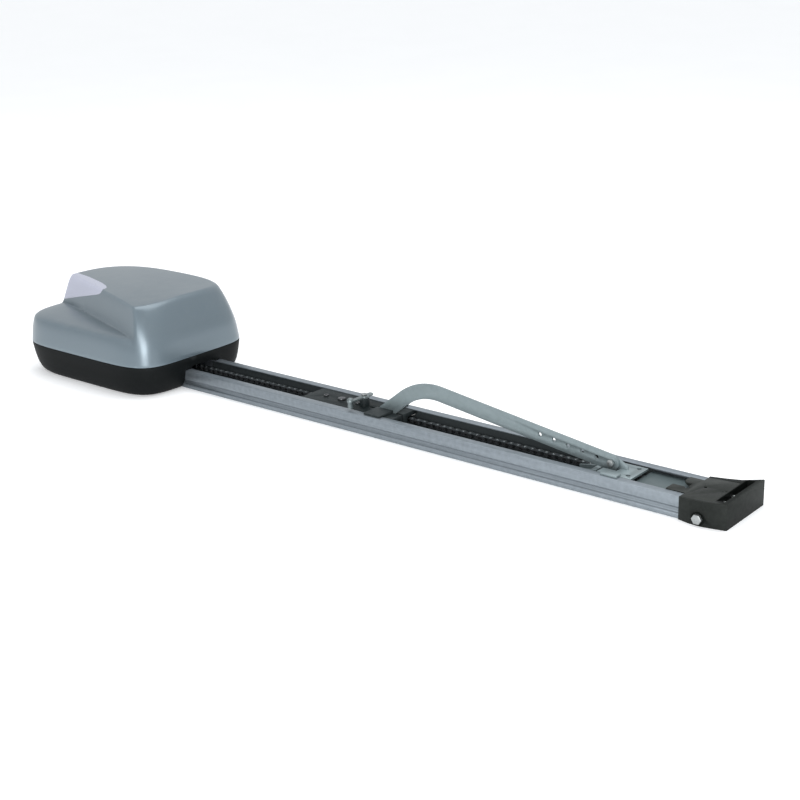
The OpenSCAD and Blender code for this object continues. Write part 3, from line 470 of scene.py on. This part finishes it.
def make_base_tray():
    tray = outline_ring(0)
    edit_whole(tray)
    first = TRAY_LEVELS[0]
    scale = [(half - inset * MM) / half
             for half, inset in zip((HALF_LENGTH, HALF_WIDTH), first[1:])]
    bpy.ops.transform.resize(value=(*scale, 1), center_override=(HEAD_X, HEAD_Y, 0))
    for (z0, *inset0), (z1, *inset1) in zip(TRAY_LEVELS, TRAY_LEVELS[1:]):
        grow_ring((z1 - z0) * MM, [i * MM for i in inset0], [i * MM for i in inset1])
    bpy.ops.object.mode_set(mode="OBJECT")
    low = coordinates(tray.data)[:, 2] < 0.1 * MM
    tray.data.vertices.foreach_set("select", low)
    edges = np.empty(len(tray.data.edges) * 2, int)
    tray.data.edges.foreach_get("vertices", edges)
    tray.data.edges.foreach_set("select", low[edges.reshape(-1, 2)].all(1))
    bpy.ops.object.mode_set(mode="EDIT")
    bpy.ops.mesh.edge_face_add()
    close_edit()
    point_outwards(tray)
    apply_modifier(tray, "SOLIDIFY", thickness=SHELL_T, offset=-1, use_even_offset=False)
    back, front = RAIL_X0 / MM - RAIL_GAP, HEAD_FRONT / MM
    side, top, mouth = RAIL_HALF / MM + RAIL_GAP, RAIL_H / MM + RAIL_GAP, MOUTH_HALF / MM
    cut_away(tray, block((back, -side, -2), (front + CUT_PAST_FRONT, side, top)))
    cut_away(tray, block((front - MOUTH_CUT_BACK, -mouth, MOUTH_CUT_LOW),
                         (front + CUT_PAST_FRONT, mouth, MOUTH_CUT_HIGH)))
    for half_along, half_across, radius in (MOUNTING_HOLES, COVER_SCREW_HOLES):
        for along in (-half_along, half_along):
            for across in (-half_across, half_across):
                cut_away(tray, rod(HEAD_X / MM + along, HEAD_Y / MM + across, radius))
    round_edges(tray, 0.35 * MM, corner=55)
    smooth(tray, 42)
    settle(tray, "tray_shell")
    return hand_over(tray, "base_tray")


# ---------------------------------------------------------------- rail
# One half of the rail's section, from its mouth round to its floor
RAIL_LINE = [(MOUTH_HALF, RAIL_H), (RAIL_HALF, RAIL_H), (RAIL_HALF, GROOVE_HIGH + GROOVE_SLOPE),
             (RAIL_HALF - GROOVE_DEPTH, GROOVE_HIGH), (RAIL_HALF - GROOVE_DEPTH, GROOVE_LOW),
             (RAIL_HALF, GROOVE_LOW - GROOVE_SLOPE), (RAIL_HALF, 0)]
# Place and radius of the holes in the rail's floor (mm)
RAIL_HOLES = [(-820, 3.3), (-240, 3.3), (-178.3, 3.1)]


def make_rail():
    line = RAIL_LINE + [(-y, z) for y, z in reversed(RAIL_LINE)]
    deselect()
    bpy.ops.mesh.primitive_circle_add(vertices=len(line), radius=1, fill_type="NOTHING")
    rail = bpy.context.object
    set_coordinates(rail.data, np.array([(RAIL_X0, y, z) for y, z in line]))
    activate(rail)
    across_mouth = [sorted(e.vertices) == [0, len(line) - 1] for e in rail.data.edges]
    rail.data.vertices.foreach_set("select", np.zeros(len(line), bool))
    rail.data.edges.foreach_set("select", across_mouth)
    bpy.ops.object.mode_set(mode="EDIT")
    bpy.ops.mesh.select_mode(type="EDGE")
    bpy.ops.mesh.delete(type="EDGE_FACE")
    bpy.ops.object.mode_set(mode="OBJECT")
    inner = np.ones(len(line), bool)
    inner[[0, -1]] = False
    rail.data.vertices.foreach_set("select", inner)
    bpy.ops.object.mode_set(mode="EDIT")
    bpy.ops.mesh.select_mode(type="VERT")
    bpy.ops.mesh.bevel(affect="VERTICES", offset=RAIL_BEND, segments=4, clamp_overlap=True)
    bpy.ops.mesh.select_all(action="SELECT")
    bpy.ops.mesh.extrude_region_move(TRANSFORM_OT_translate={"value": (RAIL_X1 - RAIL_X0, 0, 0)})
    close_edit()
    point_outwards(rail)
    top = [p for p in rail.data.polygons if abs(p.center.z - RAIL_H) < 0.1 * MM]
    if top[0].normal.z < 0:
        flip_faces(rail)
    apply_modifier(rail, "SOLIDIFY", thickness=RAIL_T, offset=-1, use_even_offset=True)
    for x, radius in RAIL_HOLES:
        cut_away(rail, rod(x, 0, radius))
    round_edges(rail, 0.25 * MM, corner=60)
    smooth(rail, 30)
    settle(rail, "rail_channel")
    return hand_over(rail, "rail")


# ---------------------------------------------------------------- roller chain
PLATE_END_R, PLATE_WAIST = 4.85 * MM, 3.3 * MM
# Points round one end of a plate, and how far the round runs past half a turn (radians)
PLATE_END_POINTS, PLATE_END_WRAP = 9, 0.5
ROLLER_R, ROLLER_HALF = 3.85 * MM, 1.6 * MM
PIN_R, PIN_HALF = 1.9 * MM, 4.1 * MM
INNER_PLATE_Z = (1.65 * MM, 2.62 * MM)
OUTER_PLATE_Z = (2.72 * MM, 3.66 * MM)


def link_plate(z_low, z_high):
    """One waisted side plate over a pitch along X, as a fresh mesh."""
    ends = []
    for centre, turn in ((PITCH / 2, -math.pi / 2), (-PITCH / 2, math.pi / 2)):
        ends += [(centre + PLATE_END_R * math.cos(turn + a), PLATE_END_R * math.sin(turn + a))
                 for a in np.linspace(-PLATE_END_WRAP, math.pi + PLATE_END_WRAP,
                                      PLATE_END_POINTS)]
        ends.append((0, PLATE_WAIST if centre > 0 else -PLATE_WAIST))
    deselect()
    bpy.ops.mesh.primitive_circle_add(vertices=len(ends), radius=1, fill_type="NGON")
    plate = bpy.context.object
    set_coordinates(plate.data, np.array([(x, y, z_low) for x, y in ends]))
    edit_whole(plate)
    bpy.ops.mesh.extrude_region_move(TRANSFORM_OT_translate={"value": (0, 0, z_high - z_low)})
    close_edit()
    point_outwards(plate)
    return plate


def plate_pair(levels):
    """Two side plates, as far above the chain's middle as below it."""
    low, high = levels
    return [link_plate(low, high), link_plate(-high, -low)]


def pin_pair(radius, half_height, vertices):
    """Two upright pins or rollers, a pitch apart."""
    pins = []
    for x in (-PITCH / 2, PITCH / 2):
        deselect()
        bpy.ops.mesh.primitive_cylinder_add(vertices=vertices, radius=radius,
                                            depth=2 * half_height, location=(x, 0, 0))
        pins.append(bpy.context.object)
    return pins


def join(parts, name):
    deselect()
    for part in parts:
        part.select_set(True)
    bpy.context.view_layer.objects.active = parts[0]
    bpy.ops.object.join()
    return settle(parts[0], name)


def chain_joints():
    """Joint places once round the loop: near run, idler turn, far run, drive turn."""
    straight, turn = IDLER_X - DRIVE_X, math.pi * PITCH_R
    total = 2 * (straight + turn)
    count = 2 * round(total / PITCH / 2)
    places = []
    for i in range(count):
        s = i * total / count
        if s < straight:
            places.append((DRIVE_X + s, -PITCH_R))
        elif s < straight + turn:
            a = (s - straight) / PITCH_R - math.pi / 2
            places.append((IDLER_X + PITCH_R * math.cos(a), PITCH_R * math.sin(a)))
        elif s < 2 * straight + turn:
            places.append((IDLER_X - (s - straight - turn), PITCH_R))
        else:
            a = (s - 2 * straight - turn) / PITCH_R + math.pi / 2
            places.append((DRIVE_X + PITCH_R * math.cos(a), PITCH_R * math.sin(a)))
    return places


def repeat_links(pattern, first, name):
    """Copies a link pattern to every second pitch of the loop, as one mesh."""
    places = chain_joints()
    copies = []
    for i in range(first, len(places), 2):
        x0, y0 = places[i]
        x1, y1 = places[(i + 1) % len(places)]
        copy = bpy.data.objects.new(name, pattern.data.copy())
        bpy.context.scene.collection.objects.link(copy)
        turn = Matrix.Rotation(math.atan2(y1 - y0, x1 - x0), 4, "Z")
        copy.data.transform(Matrix.Translation(((x0 + x1) / 2, (y0 + y1) / 2, CHAIN_Z)) @ turn)
        copies.append(copy)
    bpy.data.objects.remove(pattern)
    return join(copies, name)


def make_chain():
    """Outer links, inner links with their rollers, and the ends of the pins."""
    outer = join(plate_pair(OUTER_PLATE_Z), "outer_link")
    pins = join(pin_pair(PIN_R, PIN_HALF, 8), "pin_pair")
    inner = join(plate_pair(INNER_PLATE_Z) + pin_pair(ROLLER_R, ROLLER_HALF, 14), "inner_link")
    outer_links = repeat_links(outer, 0, "chain_outer_links")
    inner_links = repeat_links(inner, 1, "chain_inner_links")
    pin_ends = repeat_links(pins, 0, "chain_pins")
    for piece in (outer_links, inner_links, pin_ends):
        smooth(piece, 40)
    hand_over(inner_links, "chain_near_run", "chain_far_run", "chain_turns")
    for piece in (outer_links, pin_ends):
        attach(piece, body_of("chain_near_run"))
    return outer_links, inner_links, pin_ends


# ---------------------------------------------------------------- surface effects
def effect(name, inputs, outputs):
    """An empty node group with named sockets, its input and output nodes and its maker."""
    tree = bpy.data.node_groups.new(name, "ShaderNodeTree")
    for label, value in inputs:
        tree.interface.new_socket(label, in_out="INPUT",
                                  socket_type="NodeSocketFloat").default_value = value
    for label in outputs:
        tree.interface.new_socket(label, in_out="OUTPUT", socket_type="NodeSocketFloat")
    return tree, tree.nodes.new("NodeGroupInput"), tree.nodes.new("NodeGroupOutput")


def add(tree, kind, **settings):
    node = tree.nodes.new("ShaderNode" + kind)
    for key, value in settings.items():
        if key in node.inputs:
            node.inputs[key].default_value = value
        else:
            setattr(node, key, value)
    return node


def calc(tree, operation, a, b=None):
    node = tree.nodes.new("ShaderNodeMath")
    node.operation = operation
    for socket, value in zip(node.inputs, (a, b)):
        if value is None:
            continue
        if isinstance(value, (int, float)):
            socket.default_value = value
        else:
            tree.links.new(value, socket)
    return node.outputs[0]


def place_on_object(tree, stretch=(1, 1, 1)):
    where = tree.nodes.new("ShaderNodeTexCoord")
    mapping = tree.nodes.new("ShaderNodeMapping")
    mapping.inputs["Scale"].default_value = stretch
    tree.links.new(where.outputs["Object"], mapping.inputs["Vector"])
    return mapping.outputs["Vector"]


def spread(tree, value, low, high):
    """Stretches a value so that low becomes 0 and high becomes 1."""
    node = add(tree, "MapRange")
    node.inputs["From Min"].default_value = low
    node.inputs["From Max"].default_value = high
    tree.links.new(value, node.inputs["Value"])
    return node.outputs["Result"]


def make_grain():
    tree, given, out = effect("fine_grain", [("Scale", 900)], ["Grain", "Height"])
    noise = add(tree, "TexNoise", Detail=3.0, Roughness=0.6)
    tree.links.new(place_on_object(tree), noise.inputs["Vector"])
    tree.links.new(given.outputs["Scale"], noise.inputs["Scale"])
    tree.links.new(spread(tree, noise.outputs["Fac"], 0.3, 0.7), out.inputs["Grain"])
    tree.links.new(noise.outputs["Fac"], out.inputs["Height"])
    return tree


def make_streaks():
    tree, given, out = effect("rolling_streaks", [("Scale", 260)], ["Streak", "Height"])
    along = place_on_object(tree, (0.012, 1, 1))
    coarse = add(tree, "TexNoise", Detail=4.0, Roughness=0.65)
    fine = add(tree, "TexNoise", Detail=2.0, Roughness=0.5)
    for noise, factor in ((coarse, 1), (fine, 5)):
        tree.links.new(along, noise.inputs["Vector"])
        tree.links.new(calc(tree, "MULTIPLY", given.outputs["Scale"], factor),
                       noise.inputs["Scale"])
    mixed = calc(tree, "ADD", calc(tree, "MULTIPLY", coarse.outputs["Fac"], 0.65),
                 calc(tree, "MULTIPLY", fine.outputs["Fac"], 0.35))
    tree.links.new(spread(tree, mixed, 0.34, 0.66), out.inputs["Streak"])
    tree.links.new(mixed, out.inputs["Height"])
    return tree


def make_spangle():
    tree, given, out = effect("zinc_spangle", [("Scale", 160)], ["Flake", "Height"])
    cells = add(tree, "TexVoronoi", Randomness=1.0)
    tree.links.new(place_on_object(tree), cells.inputs["Vector"])
    tree.links.new(given.outputs["Scale"], cells.inputs["Scale"])
    grey = add(tree, "RGBToBW")
    tree.links.new(cells.outputs["Color"], grey.inputs["Color"])
    cloud = add(tree, "TexNoise", Scale=24.0, Detail=3.0)
    tree.links.new(place_on_object(tree), cloud.inputs["Vector"])
    flake = calc(tree, "ADD", calc(tree, "MULTIPLY", grey.outputs[0], 0.55),
                 calc(tree, "MULTIPLY", cloud.outputs["Fac"], 0.45))
    tree.links.new(flake, out.inputs["Flake"])
    tree.links.new(grey.outputs[0], out.inputs["Height"])
    return tree


def make_rubbed():
    tree, given, out = effect("rubbed_edges", [("Reach", 0.06)], ["Mask"])
    shape = tree.nodes.new("ShaderNodeNewGeometry")
    noise = add(tree, "TexNoise", Scale=140.0, Detail=4.0)
    tree.links.new(place_on_object(tree), noise.inputs["Vector"])
    sharp = calc(tree, "SUBTRACT", shape.outputs["Pointiness"], 0.5)
    broken = calc(tree, "MULTIPLY", sharp, calc(tree, "ADD", noise.outputs["Fac"], 0.35))
    mask = calc(tree, "DIVIDE", broken, given.outputs["Reach"])
    tree.links.new(calc(tree, "MINIMUM", calc(tree, "MAXIMUM", mask, 0.0), 1.0),
                   out.inputs["Mask"])
    return tree


def make_dust():
    tree, given, out = effect("settled_dust", [("Amount", 0.3)], ["Mask"])
    shape = tree.nodes.new("ShaderNodeNewGeometry")
    split = tree.nodes.new("ShaderNodeSeparateXYZ")
    tree.links.new(shape.outputs["Normal"], split.inputs[0])
    patches = add(tree, "TexNoise", Scale=38.0, Detail=6.0, Roughness=0.7)
    tree.links.new(place_on_object(tree), patches.inputs["Vector"])
    facing = calc(tree, "MAXIMUM", split.outputs["Z"], 0.0)
    cover = calc(tree, "MULTIPLY", facing, spread(tree, patches.outputs["Fac"], 0.42, 0.72))
    tree.links.new(calc(tree, "MULTIPLY", cover, given.outputs["Amount"]), out.inputs["Mask"])
    return tree


GRAIN, STREAKS, SPANGLE, RUBBED, DUST = (make_grain(), make_streaks(), make_spangle(),
                                         make_rubbed(), make_dust())
DUST_COLOUR = (0.42, 0.41, 0.39, 1)


class Finish:
    """One material under way: its shader, and the colour, roughness and relief built up so far."""

    def __init__(self, name, metallic=0.0, **shader_values):
        self.material = bpy.data.materials.new(name)
        self.material.use_nodes = True
        self.tree = self.material.node_tree
        self.shader = self.tree.nodes["Principled BSDF"]
        self.shader.inputs["Metallic"].default_value = metallic
        for label, value in shader_values.items():
            self.shader.inputs[label.replace("_", " ")].default_value = value

    def use(self, effect_tree, **values):
        node = self.tree.nodes.new("ShaderNodeGroup")
        node.node_tree = effect_tree
        for label, value in values.items():
            node.inputs[label].default_value = value
        return node

    def mix(self, factor, a, b):
        node = self.tree.nodes.new("ShaderNodeMix")
        node.data_type = "RGBA"
        self.tree.links.new(factor, node.inputs[0])
        for socket, value in ((node.inputs[6], a), (node.inputs[7], b)):
            if isinstance(value, tuple):
                socket.default_value = value if len(value) == 4 else (*value, 1)
            else:
                self.tree.links.new(value, socket)
        return node.outputs[2]

    def rough(self, factor, smoothest, roughest):
        node = self.tree.nodes.new("ShaderNodeMapRange")
        node.inputs["To Min"].default_value = smoothest
        node.inputs["To Max"].default_value = roughest
        self.tree.links.new(factor, node.inputs["Value"])
        self.tree.links.new(node.outputs["Result"], self.shader.inputs["Roughness"])

    def relief(self, height, distance, strength=0.5):
        node = self.tree.nodes.new("ShaderNodeBump")
        node.inputs["Strength"].default_value = strength
        node.inputs["Distance"].default_value = distance
        self.tree.links.new(height, node.inputs["Height"])
        self.tree.links.new(node.outputs["Normal"], self.shader.inputs["Normal"])

    def colour(self, socket):
        self.tree.links.new(socket, self.shader.inputs["Base Color"])
        return self.material


def tint(colour, factor):
    """The colour made darker or lighter, never past white."""
    return tuple(min(1, factor * c) for c in colour)


def moulded_plastic(name, colour, worn, roughness=(0.42, 0.56), dust=0.3, grain=1400,
                    depth=0.05 * MM, ior=1.5):
    """Moulded plastic with a fine texture, paler where it is rubbed, a little dust on top."""
    finish = Finish(name, IOR=ior)
    texture = finish.use(GRAIN, Scale=grain)
    base = finish.mix(texture.outputs["Grain"], tint(colour, 0.86), tint(colour, 1.14))
    rubbed = finish.mix(finish.use(RUBBED, Reach=0.09).outputs["Mask"], base, worn)
    dusty = finish.mix(finish.use(DUST, Amount=dust).outputs["Mask"], rubbed, DUST_COLOUR)
    finish.rough(texture.outputs["Grain"], *roughness)
    finish.relief(texture.outputs["Height"], depth, 0.6)
    return finish.colour(dusty)


# Share of its colour that rolled steel takes from the zinc flakes
FLAKES_ON_ROLLED_STEEL = 0.12


def zinc_steel(name, dark, light, streaks=None, metallic=0.85, roughness=(0.28, 0.46), flakes=170,
               dust=0.15):
    """Zinc-coated steel: lengthwise rolling streaks where it was rolled, flakes of zinc elsewhere."""
    finish = Finish(name, metallic)
    spangle = finish.use(SPANGLE, Scale=flakes)
    base = finish.mix(spangle.outputs["Flake"], dark, light)
    tone, height = spangle.outputs["Flake"], spangle.outputs["Height"]
    if streaks:
        rolled = finish.use(STREAKS, Scale=streaks)
        drawn = finish.mix(rolled.outputs["Streak"], dark, light)
        faint_flakes = calc(finish.tree, "MULTIPLY", spangle.outputs["Flake"],
                            FLAKES_ON_ROLLED_STEEL)
        base = finish.mix(faint_flakes, drawn, base)
        tone, height = rolled.outputs["Streak"], rolled.outputs["Height"]
    edge = finish.mix(finish.use(RUBBED, Reach=0.07).outputs["Mask"], base, tint(light, 1.25))
    dusty = finish.mix(finish.use(DUST, Amount=dust).outputs["Mask"], edge, DUST_COLOUR)
    finish.rough(tone, *roughness)
    finish.relief(height, 0.02 * MM)
    return finish.colour(dusty)


def bare_metal(name, dark, light, metallic=1.0, roughness=(0.25, 0.42), grain=500,
               depth=0.01 * MM):
    """Turned, cast or oiled metal with small changes of tone and brighter edges."""
    finish = Finish(name, metallic)
    tone = finish.use(GRAIN, Scale=grain)
    base = finish.mix(tone.outputs["Grain"], dark, light)
    edge = finish.mix(finish.use(RUBBED, Reach=0.05).outputs["Mask"], base, tint(light, 1.3))
    finish.rough(tone.outputs["Grain"], *roughness)
    finish.relief(tone.outputs["Height"], depth)
    return finish.colour(edge)


def satin_paint(name, dark, light):
    """Silver-grey satin paint over moulded plastic, with fine flakes under a thin clear coat."""
    finish = Finish(name, metallic=0.42, Coat_Weight=0.25, Coat_Roughness=0.18)
    flakes = finish.use(GRAIN, Scale=3800)
    cloud = finish.use(GRAIN, Scale=7)
    base = finish.mix(flakes.outputs["Grain"], dark, light)
    middle = tuple(0.5 * (a + b) for a, b in zip(dark, light))
    shaded = finish.mix(cloud.outputs["Grain"], base, middle)
    edge = finish.mix(finish.use(RUBBED, Reach=0.12).outputs["Mask"], shaded, tint(light, 1.35))
    dusty = finish.mix(finish.use(DUST, Amount=0.06).outputs["Mask"], edge, DUST_COLOUR)
    finish.rough(cloud.outputs["Grain"], 0.3, 0.36)
    finish.relief(flakes.outputs["Height"], 0.006 * MM)
    return finish.colour(dusty)


def frosted_window(name, colour):
    """Frosted, milky plastic over the lamp."""
    finish = Finish(name, Transmission_Weight=0.12, IOR=1.49)
    frost = finish.use(GRAIN, Scale=1100)
    base = finish.mix(frost.outputs["Grain"], tint(colour, 0.96), colour)
    finish.rough(frost.outputs["Grain"], 0.26, 0.34)
    finish.relief(frost.outputs["Height"], 0.012 * MM)
    return finish.colour(base)


def bulb_glass(name):
    """Lightly frosted glass of the lamp's bulb."""
    finish = Finish(name, Transmission_Weight=0.6, IOR=1.45)
    frost = finish.use(GRAIN, Scale=700)
    finish.rough(frost.outputs["Grain"], 0.22, 0.34)
    return finish.colour(finish.mix(frost.outputs["Grain"], (0.86, 0.85, 0.8), (0.95, 0.94, 0.9)))


FINISHES = {
    "cover_silver": satin_paint("cover_silver", (0.1, 0.133, 0.156), (0.15, 0.19, 0.216)),
    "lamp_diffuser": frosted_window("lamp_diffuser", (0.46, 0.475, 0.57)),
    "black_plastic": moulded_plastic("black_plastic", (0.0035, 0.0045, 0.0047),
                                     (0.018, 0.02, 0.021), dust=0.01, ior=1.16),
    "galvanised_rail": zinc_steel("galvanised_rail", (0.04, 0.051, 0.061), (0.2, 0.227, 0.25),
                                  streaks=95, metallic=0.7, roughness=(0.36, 0.54), dust=0.03),
    "galvanised_arm": zinc_steel("galvanised_arm", (0.138, 0.172, 0.18), (0.205, 0.246, 0.256),
                                 metallic=0.65, roughness=(0.38, 0.54), dust=0.05),
    "zinc_hardware": bare_metal("zinc_hardware", (0.155, 0.165, 0.165), (0.26, 0.273, 0.273),
                                metallic=0.85),
    "lever_zinc": zinc_steel("lever_zinc", (0.11, 0.133, 0.138), (0.185, 0.213, 0.217),
                             metallic=0.7, dust=0.05),
    "dark_steel": bare_metal("dark_steel", (0.025, 0.027, 0.029), (0.07, 0.073, 0.077),
                             metallic=0.7),
    "link_steel": bare_metal("link_steel", (0.018, 0.022, 0.024), (0.07, 0.08, 0.085), metallic=0.7),
    # Pale pin steel: its light tone is a painted glint on the chain's pin ends
    "pin_steel_painted_glint": bare_metal("pin_steel_painted_glint", (0.2, 0.22, 0.23), (0.5, 0.53, 0.54), metallic=0.9,
                            roughness=(0.2, 0.34)),
    "hood_zinc": zinc_steel("hood_zinc", (0.04, 0.056, 0.06), (0.075, 0.1, 0.105), metallic=0.3,
                            roughness=(0.45, 0.6), dust=0.05),
    "guide_plastic": moulded_plastic("guide_plastic", (0.009, 0.013, 0.0138), (0.04, 0.047, 0.049),
                                     dust=0.015, ior=1.16),
    "pad_plastic": moulded_plastic("pad_plastic", (0.7, 0.7, 0.66), (0.8, 0.8, 0.77)),
    "cap_plastic": moulded_plastic("cap_plastic", (0.005, 0.0062, 0.0056), (0.03, 0.033, 0.031),
                                   dust=0.01, ior=1.13),
    "plate_grey": moulded_plastic("plate_grey", (0.011, 0.013, 0.0115), (0.045, 0.049, 0.046),
                                  dust=0.02, ior=1.18),
    "machined_steel": bare_metal("machined_steel", (0.4, 0.42, 0.43), (0.55, 0.57, 0.58)),
    "cast_aluminium": bare_metal("cast_aluminium", (0.5, 0.51, 0.52), (0.66, 0.67, 0.68), 1.0,
                                 (0.38, 0.52), 900, 0.06 * MM),
    "wheel_bronze": bare_metal("wheel_bronze", (0.5, 0.33, 0.14), (0.68, 0.47, 0.22)),
    "motor_black": moulded_plastic("motor_black", (0.02, 0.021, 0.023), (0.1, 0.1, 0.1),
                                   (0.3, 0.42)),
    "laminated_steel": bare_metal("laminated_steel", (0.14, 0.145, 0.15), (0.24, 0.245, 0.25),
                                  1.0, (0.4, 0.55)),
    "coil_tape": moulded_plastic("coil_tape", (0.45, 0.33, 0.12), (0.55, 0.43, 0.2)),
    "board_green": moulded_plastic("board_green", (0.02, 0.12, 0.05), (0.08, 0.2, 0.1),
                                   (0.25, 0.35)),
    "board_parts": moulded_plastic("board_parts", (0.05, 0.16, 0.1), (0.1, 0.24, 0.16)),
    "relay_blue": moulded_plastic("relay_blue", (0.03, 0.08, 0.25), (0.07, 0.14, 0.34)),
    "pillar_nylon": moulded_plastic("pillar_nylon", (0.66, 0.66, 0.63), (0.78, 0.78, 0.75)),
    "socket_white": moulded_plastic("socket_white", (0.74, 0.72, 0.66), (0.82, 0.8, 0.75)),
    "bulb_glass": bulb_glass("bulb_glass"),
}


def dress(piece, finish):
    piece.data.materials.clear()
    piece.data.materials.append(FINISHES[finish])


# ---------------------------------------------------------------- build
slot_of = {s["node"]: s["material_slot"] for s in frame["record"]["subparts"]}
for node, shape in nodes.items():
    dress(shape, slot_of[node])

head_cover, lamp_window = make_cover()
dress(head_cover, "cover_silver")
dress(lamp_window, "lamp_diffuser")
dress(make_base_tray(), "black_plastic")
dress(make_rail(), "galvanised_rail")
# The chain's pins take the pale pin steel, whose brightness is a painted glint
for piece, finish in zip(make_chain(), ("link_steel", "dark_steel", "pin_steel_painted_glint")):
    dress(piece, finish)

# Width in millimetres of the broken edge on each part that is seen up close, and its finish
FINISHED_PARTS = {
    "arm": (0.5, "galvanised_arm"),
    "door_bracket": (0.5, "galvanised_arm"),
    "travel_stop": (0.4, "galvanised_arm"),
    "stop_screw": (0.3, "zinc_hardware"),
    "bracket_bolt": (0.3, "zinc_hardware"),
    "bracket_nut": (0.3, "zinc_hardware"),
    "carriage_body": (0.6, "guide_plastic"),
    "chain_shuttle": (0.4, "machined_steel"),
    "shuttle_screws": (0.25, "dark_steel"),
    "lock_pin": (0.4, "dark_steel"),
    "release_lever": (0.8, "lever_zinc"),
    "lever_screw": (0.3, "zinc_hardware"),
    "arm_pivot_pin": (0.4, "zinc_hardware"),
    "chain_guides": (0.25, "guide_plastic"),
    "end_cap": (1.1, "cap_plastic"),
    "cap_plate": (0.6, "plate_grey"),
    "cap_plate_screw": (0.3, "plate_grey"),
    "header_bolt": (0.5, "zinc_hardware"),
    "header_nut": (0.4, "zinc_hardware"),
    "tension_yoke": (0.4, "hood_zinc"),
    "tension_screws": (0.3, "zinc_hardware"),
    "tension_nuts": (0.3, "zinc_hardware"),
    "idler_sprocket": (0.3, "machined_steel"),
    "cable_gland": (0.5, "black_plastic"),
}
for node, (width, finish) in FINISHED_PARTS.items():
    dress(finished_copy(node, width * MM), finish)

# ---------------------------------------------------------------- stage, light and camera
FLOOR_GAP = 0.2 * MM
FLOOR_SIZE = 24
FLOOR_MIDDLE = (-0.5, 2, cad_box[0][2] - FLOOR_GAP)
FLOOR_GLOW = 0.22

SKY_COLOUR, SKY_STRENGTH = (0.95, 0.975, 1, 1), 0.82

CAMERA_PLACE = (0.8612, -1.6357, 0.7928)
CAMERA_YAW, CAMERA_PITCH, CAMERA_ROLL = 2.27084, 0.33228, -0.03106
CAMERA_SENSOR, CAMERA_LENS = 36, 65.0


def make_floor():
    deselect()
    bpy.ops.mesh.primitive_plane_add(size=FLOOR_SIZE, location=FLOOR_MIDDLE)
    floor = bpy.context.object
    floor.name = "studio_floor"
    finish = Finish("studio_floor")
    soft = finish.use(GRAIN, Scale=3)
    finish.rough(soft.outputs["Grain"], 0.62, 0.7)
    floor.data.materials.append(finish.colour(
        finish.mix(soft.outputs["Grain"], (0.9, 0.905, 0.91), (0.93, 0.935, 0.94))))
    finish.shader.inputs["Emission Color"].default_value = (1, 1, 1, 1)
    finish.shader.inputs["Emission Strength"].default_value = FLOOR_GLOW


def soft_box(name, place, aim, size, power):
    light = bpy.data.lights.new(name, "AREA")
    light.shape = "RECTANGLE"
    light.size, light.size_y = size
    light.energy = power
    box = bpy.data.objects.new(name, light)
    bpy.context.scene.collection.objects.link(box)
    box.location = place
    box.rotation_euler = (Vector(aim) - Vector(place)).to_track_quat("-Z", "Y").to_euler()


def make_sky():
    world = bpy.data.worlds.new("studio")
    world.use_nodes = True
    background = world.node_tree.nodes["Background"]
    background.inputs["Color"].default_value = SKY_COLOUR
    background.inputs["Strength"].default_value = SKY_STRENGTH
    bpy.context.scene.world = world


def make_camera():
    """Looks along yaw, down by pitch, and is then turned by roll about its own line of sight."""
    yaw, pitch, roll = CAMERA_YAW, CAMERA_PITCH, CAMERA_ROLL
    forward = Vector((math.cos(yaw) * math.cos(pitch), math.sin(yaw) * math.cos(pitch),
                      -math.sin(pitch)))
    level = Vector((math.sin(yaw), -math.cos(yaw), 0))
    upright = level.cross(forward)
    right = math.cos(roll) * level + math.sin(roll) * upright
    up = -math.sin(roll) * level + math.cos(roll) * upright
    data = bpy.data.cameras.new("view")
    data.sensor_width = CAMERA_SENSOR
    data.lens = CAMERA_LENS
    camera = bpy.data.objects.new("view", data)
    bpy.context.scene.collection.objects.link(camera)
    turn = Matrix((right, up, -forward)).transposed().to_4x4()
    camera.matrix_world = Matrix.Translation(CAMERA_PLACE) @ turn
    bpy.context.scene.camera = camera


make_floor()
soft_box("corner_box", (0.75, -2.3, 0.55), (-1.0, -0.1, 0.1), (1.2, 1.6), 56)
soft_box("top_box", (-0.6, 0.6, 2.7), (-0.55, 0, 0), (3.2, 1.8), 42)
make_sky()
bpy.context.scene.view_settings.view_transform = "Standard"
make_camera()
